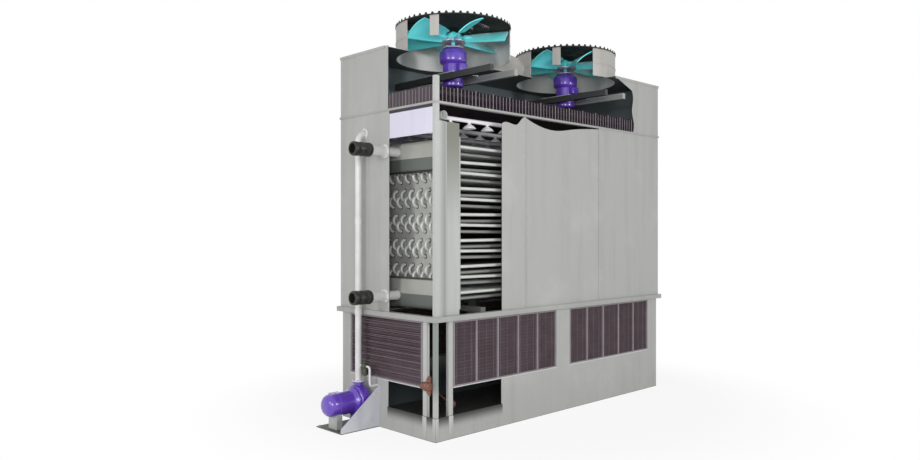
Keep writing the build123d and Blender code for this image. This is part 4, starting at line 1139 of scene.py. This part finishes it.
louvre = {
    "low": 0.462, "high": 1.005, "rows": 9, "bladeDepth": 0.081, "middle": 0.05, "tilt": 38.0, "leaf": 0.0012,
    "leafGap": 0.004, "webPitch": 0.0155, "webFront": 0.0105, "webBack": 0.034, "web": 0.0014,
    "lineProud": 0.002, "linePitch": 0.0302, "sill": (0.4402, 0.4497), "sillProud": 0.0015, "sillSink": 0.001,
    # bays: outer face, way inwards, and where the bay starts and ends along the wall
    "longBays": (
        (-0.6725, 1, -1.531, -0.1055), (-0.6725, 1, 0.1055, 1.56), (0.6725, -1, -1.56, -0.1055),
        (0.6725, -1, 0.1055, 1.56),
    ),
    "endBays": ((-1.74, 1, -0.5055, 0.5475), (1.74, -1, -0.5475, 0.5475)),
}


def buildLouvres():
    # thin leaves between the packs' own blades, and fine webs: upright on the long sides, level on the ends
    dark, pale, sills = bmesh.new(), bmesh.new(), bmesh.new()
    low, high, rows, web, deep, leaf, tilt = (
        louvre[key] for key in ("low", "high", "rows", "web", "bladeDepth", "leaf", "tilt"))
    for isLong, bays in ((True, louvre["longBays"]), (False, louvre["endBays"])):
        for face, way, start, end in bays:
            keys = ("webFront", "webBack", "middle", "sillSink")
            front, back, middle, sillIn = (face + way * louvre[key] for key in keys)
            line, sillOut = front - way * louvre["lineProud"], face - way * louvre["sillProud"]
            centre, long = (start + end) / 2, end - start - louvre["leafGap"]
            for row in range(1, rows):
                level = low + (high - low) / rows * row
                if isLong:
                    addTilted(dark, (centre, middle, level), (long, deep, leaf), way * tilt, "X")
                else:
                    addTilted(dark, (middle, centre, level), (deep, long, leaf), -way * tilt, "Y")
            if isLong:
                count = int((end - start) / louvre["webPitch"])
                for place in range(1, count):
                    x = start + (end - start) * place / count
                    addBetween(dark, (x - web, x + web), (front, back), low, high)
                    if place % 6 == 3:
                        addBetween(pale, (x - web, x + web), (line, front), low, high)
                addBetween(sills, (start, end), (sillOut, sillIn), *louvre["sill"])
            else:
                count = int((high - low) / louvre["linePitch"])
                for place in range(1, count):
                    z = low + (high - low) * place / count
                    addBetween(dark, (front, back), (start, end), z - web, z + web)
                    if place % 2 == 0:
                        addBetween(pale, (line, front), (start, end), z - web, z + web)
                addBetween(sills, (sillOut, sillIn), (start, end), *louvre["sill"])
    addPiece("louvreWebs", dark, "louvrePlastic")
    addPiece("louvreLines", pale, "dividerPlastic")
    addPiece("louvreSills", sills, "sillWhite")


buildLouvres()
print("stage: packs made")


# float valve and its arm

floatArm = {
    "pivot": (-1.685, -0.582, 0.44), "drop": 38.0, "length": 0.262, "rod": 0.0045, "rodEnd": 0.04,
    "eye": ((0, -0.006), (0.012, -0.006), (0.012, 0.006), (0, 0.006)), "pinY": -0.5865,
    "pin": ((0, -0.0145), (0.0078, -0.0145), (0.0078, 0.004), (0, 0.004)), "nutAt": 0.15,
    "nut": (0.009, 0.012), "ball": 0.048,
    "seam": ((0.047, -0.002), (0.0486, -0.001), (0.0486, 0.001), (0.047, 0.002)),
}
floatValve = {
    "x": -1.735, "y": -0.5935,
    # level, way, radius, depth and sides of the nuts and pipe ends
    "nuts": (
        (0.5362, 1, 0.024, 0.01, 6), (0.5462, 1, 0.014, 0.012, 20), (0.4158, -1, 0.024, 0.01, 6),
        (0.4058, -1, 0.011, 0.014, 20),
    ),
    "ringLevel": 0.5, "ring": ((0.03, -0.004), (0.033, -0.004), (0.033, 0.004), (0.03, 0.004)),
    "bodyStart": (-1.762, -0.632, 0.474),
    "body": (
        (0.0, 0.0), (0.03, 0.0), (0.034, 0.004), (0.036, 0.016), (0.036, 0.03), (0.041, 0.034), (0.041, 0.06),
        (0.036, 0.064), (0.034, 0.094), (0.028, 0.106), (0.0, 0.108),
    ),
}


def buildFloat():
    angle = math.radians(floatArm["drop"])
    along = Vector((math.cos(angle), 0, -math.sin(angle)))
    pivot = Vector(floatArm["pivot"])
    mesh = bmesh.new()
    hose = Hose(mesh, pivot, along, floatArm["rod"], 12)
    hose.run(along * (floatArm["length"] - floatArm["rodEnd"]))
    hose.close()
    addLathe(mesh, floatArm["eye"], pivot, (0, 1, 0), 20)
    addLathe(mesh, floatArm["pin"], (pivot.x, floatArm["pinY"], pivot.z), (0, 1, 0), 16)
    addPlug(mesh, pivot + along * floatArm["nutAt"], along, *floatArm["nut"])
    addPiece("floatRod", mesh, "valveBrass", "float_arm", ("float_arm",))
    mesh = bmesh.new()
    r = floatArm["ball"]
    centre = pivot + along * floatArm["length"]
    angles = [math.radians(turn) for turn in range(-75, 90, 15)]
    profile = [(0, -r), *((r * math.cos(turn), r * math.sin(turn)) for turn in angles), (0, r)]
    addLathe(mesh, profile, centre)
    addLathe(mesh, floatArm["seam"], centre)
    addPiece("floatBall", mesh, "floatRubber", "float_arm", ("float_arm",))
    mesh = bmesh.new()
    x, y = floatValve["x"], floatValve["y"]
    for level, way, *size in floatValve["nuts"]:
        addPlug(mesh, (x, y, level), (0, 0, way), *size)
    addLathe(mesh, floatValve["ring"], (x, y, floatValve["ringLevel"]), steps=24)
    addLathe(mesh, floatValve["body"], floatValve["bodyStart"], (0, 1, 0), 28)
    addPiece("floatValveBody", mesh, "valveBrass")


buildFloat()


# torn flap of the deck and the strips on the low walls

flap = {
    "start": -0.3, "end": 0.15, "columns": 16, "base": (0.001, 3.4995), "thick": 0.0016,
    "rows": ((-0.014, 0.04), (-0.022, 0.044), (-0.01, 0.048), (0.006, 0.046), (0.016, 0.034), (0.02, 0.018)),
}


def buildFlap():
    # the edge line of the cut, raised row by row into a curl that is lower to the right
    mesh = bmesh.new()
    span = flap["end"] - flap["start"]
    shares = [place / flap["columns"] for place in range(flap["columns"] + 1)]
    edges = addLine(mesh, [(flap["start"] + span * share, *flap["base"]) for share in shares])[1]
    for shift, rise in flap["rows"]:
        points, edges = growRow(mesh, edges)
        for vert in points:
            share = (vert.co.x - flap["start"]) / span
            arch = math.sin(math.pi * min(1.0, 0.3 + 0.7 * share))
            swell = 0.45 + 0.55 * arch + 0.1 * math.sin(share * 9)
            step = (0.003 * math.sin(share * 14), shift * swell, rise * swell)
            bmesh.ops.translate(mesh, verts=[vert], vec=step)
    bmesh.ops.recalc_face_normals(mesh, faces=mesh.faces)
    bmesh.ops.solidify(mesh, geom=list(mesh.faces), thickness=flap["thick"])
    addPiece("deckFlap", mesh, "stackSheet", crease=60)


trim = {
    "low": 0.004, "high": 0.203, "proud": 0.0022, "gap": 0.0001, "corner": 0.036, "edge": 0.0008,
    "leftStrip": (-0.5575, -0.5055), "frontStrip": (-1.583, -1.531),
}


def buildTrims():
    mesh = bmesh.new()
    left, front = -shell["lowLength"], -shell["lowWidth"]
    proud, gap = trim["proud"], trim["gap"]
    outX, inX, outY, inY = left - proud, left - gap, front - proud, front - gap
    spans = (
        ((outX, inX), trim["leftStrip"]), (trim["frontStrip"], (outY, inY)),
        ((outX, inX), (outY, front + trim["corner"])), ((outX, left + trim["corner"]), (outY, inY)),
    )
    for (x0, x1), (y0, y1) in spans:
        addSlab(mesh, (x0, y0, trim["low"]), (x1, y1, trim["high"]), trim["edge"])
    addPiece("lowWallTrims", mesh, "trimSteel")


buildFlap()
buildTrims()


# fixings of the casing

fixing = {
    "radius": 0.0055, "pitch": 0.19, "joints": (-0.5865, 0.5835), "inset": 0.028, "coilRows": (1.11, 2.76),
    "fanRows": (2.95, 3.44),
}


def buildFixings():
    # upright rows of screws, at the panels' joints and near the corners
    mesh = bmesh.new()
    length, width, inset = shell["length"], shell["width"], fixing["inset"]
    coilRows, fanRows = fixing["coilRows"], fixing["fanRows"]
    right, back = length - inset, width - inset
    joints = [joint + side * inset for joint in fixing["joints"] for side in (-1, 1)]
    rows = [(x, y, (0, y / width, 0), (coilRows,)) for x in joints for y in (-width, width)]
    corners = (
        (-right, width, (0, 1, 0)), (right, width, (0, 1, 0)), (right, -width, (0, -1, 0)),
        (length, -back, (1, 0, 0)), (length, back, (1, 0, 0)), (-length, back, (-1, 0, 0)),
    )
    rows += [(x, y, facing, (coilRows, fanRows)) for x, y, facing in corners]
    for x, y, facing, spans in rows:
        for low, high in spans:
            count = max(2, int((high - low) / fixing["pitch"]))
            for place in range(count + 1):
                addScrew(mesh, (x, y, low + (high - low) * place / count), facing, fixing["radius"])
    addPiece("casingScrews", mesh, "boltZinc", crease=50)


buildFixings()
print("stage: fixings made")


# floor, light and camera

room = {
    "floor": 60.0, "matt": tone(240, 240, 240), "nearGlow": 0.86, "shadowReach": 1.8, "whiteReach": 3.6,
    "world": 0.36,
    # place, target, size and power
    "lamps": {
        "leftLamp": ((-9.9, -0.9, 3.2), (-1.2, 0, 2.0), 1.5, 190.0),
        "rightLamp": ((1.4, -9.6, 3.2), (0, 0, 2.0), 1.5, 240.0),
        "frontLamp": ((-7.4, -6.6, 2.9), (0, 0, 1.9), 3.0, 260.0),
    },
    "lens": 29.77, "sensor": 36.0, "shift": 0.00217,
    "eye": (-6.091, -5.467, 1.797), "facing": (0.6957, 0.7186, 0),
}
white = (1, 1, 1, 1)


def aim(thing, heading):
    thing.rotation_euler = Vector(heading).to_track_quat("-Z", "Y").to_euler()


def buildFloor():
    mesh = bmesh.new()
    bmesh.ops.create_grid(mesh, x_segments=1, y_segments=1, size=room["floor"] / 2)
    data = bpy.data.meshes.new("floor")
    mesh.to_mesh(data)
    mesh.free()
    floor = bpy.data.objects.new("floor", data)
    bpy.context.scene.collection.objects.link(floor)
    material = bpy.data.materials.new("floorWhite")
    material.use_nodes = True
    material.node_tree.nodes.clear()
    finish = Finish(material.node_tree)
    matt = finish.node("ShaderNodeBsdfDiffuse", {"Color": room["matt"]})[0]
    glow = finish.node("ShaderNodeEmission", {"Color": white, "Strength": 1.0})[0]
    x, y = finish.axes()[:2]
    away = ((x * x + y * y) ** 0.5).ramp(room["shadowReach"], room["whiteReach"], room["nearGlow"], 1.0)
    both = finish.node("ShaderNodeMixShader", {0: finish.straight() * away, 1: matt, 2: glow})[0]
    finish.node("ShaderNodeOutputMaterial", {"Surface": both})
    data.materials.append(material)


def buildWorld():
    world = bpy.data.worlds.new("studio")
    bpy.context.scene.world = world
    world.use_nodes = True
    world.node_tree.nodes.clear()
    finish = Finish(world.node_tree)
    lit = finish.node("ShaderNodeBackground", {"Color": white, "Strength": room["world"]})[0]
    shown = finish.node("ShaderNodeBackground", {"Color": white, "Strength": 1.0})[0]
    both = finish.node("ShaderNodeMixShader", {0: finish.straight(), 1: lit, 2: shown})[0]
    finish.node("ShaderNodeOutputWorld", {"Surface": both})


def buildLamps():
    for name, (place, target, size, power) in room["lamps"].items():
        data = bpy.data.lights.new(name, "AREA")
        data.shape = "DISK"
        data.size = size
        data.energy = power
        lamp = bpy.data.objects.new(name, data)
        bpy.context.scene.collection.objects.link(lamp)
        lamp.location = place
        aim(lamp, Vector(target) - Vector(place))


def buildCamera():
    data = bpy.data.cameras.new("viewpoint")
    data.lens = room["lens"]
    data.sensor_width = room["sensor"]
    data.shift_y = room["shift"]
    camera = bpy.data.objects.new("viewpoint", data)
    bpy.context.scene.collection.objects.link(camera)
    camera.location = room["eye"]
    aim(camera, room["facing"])
    bpy.context.scene.camera = camera


buildFloor()
buildWorld()
buildLamps()
buildCamera()
bpy.context.scene.view_settings.view_transform = "Standard"
print("stage: room made")
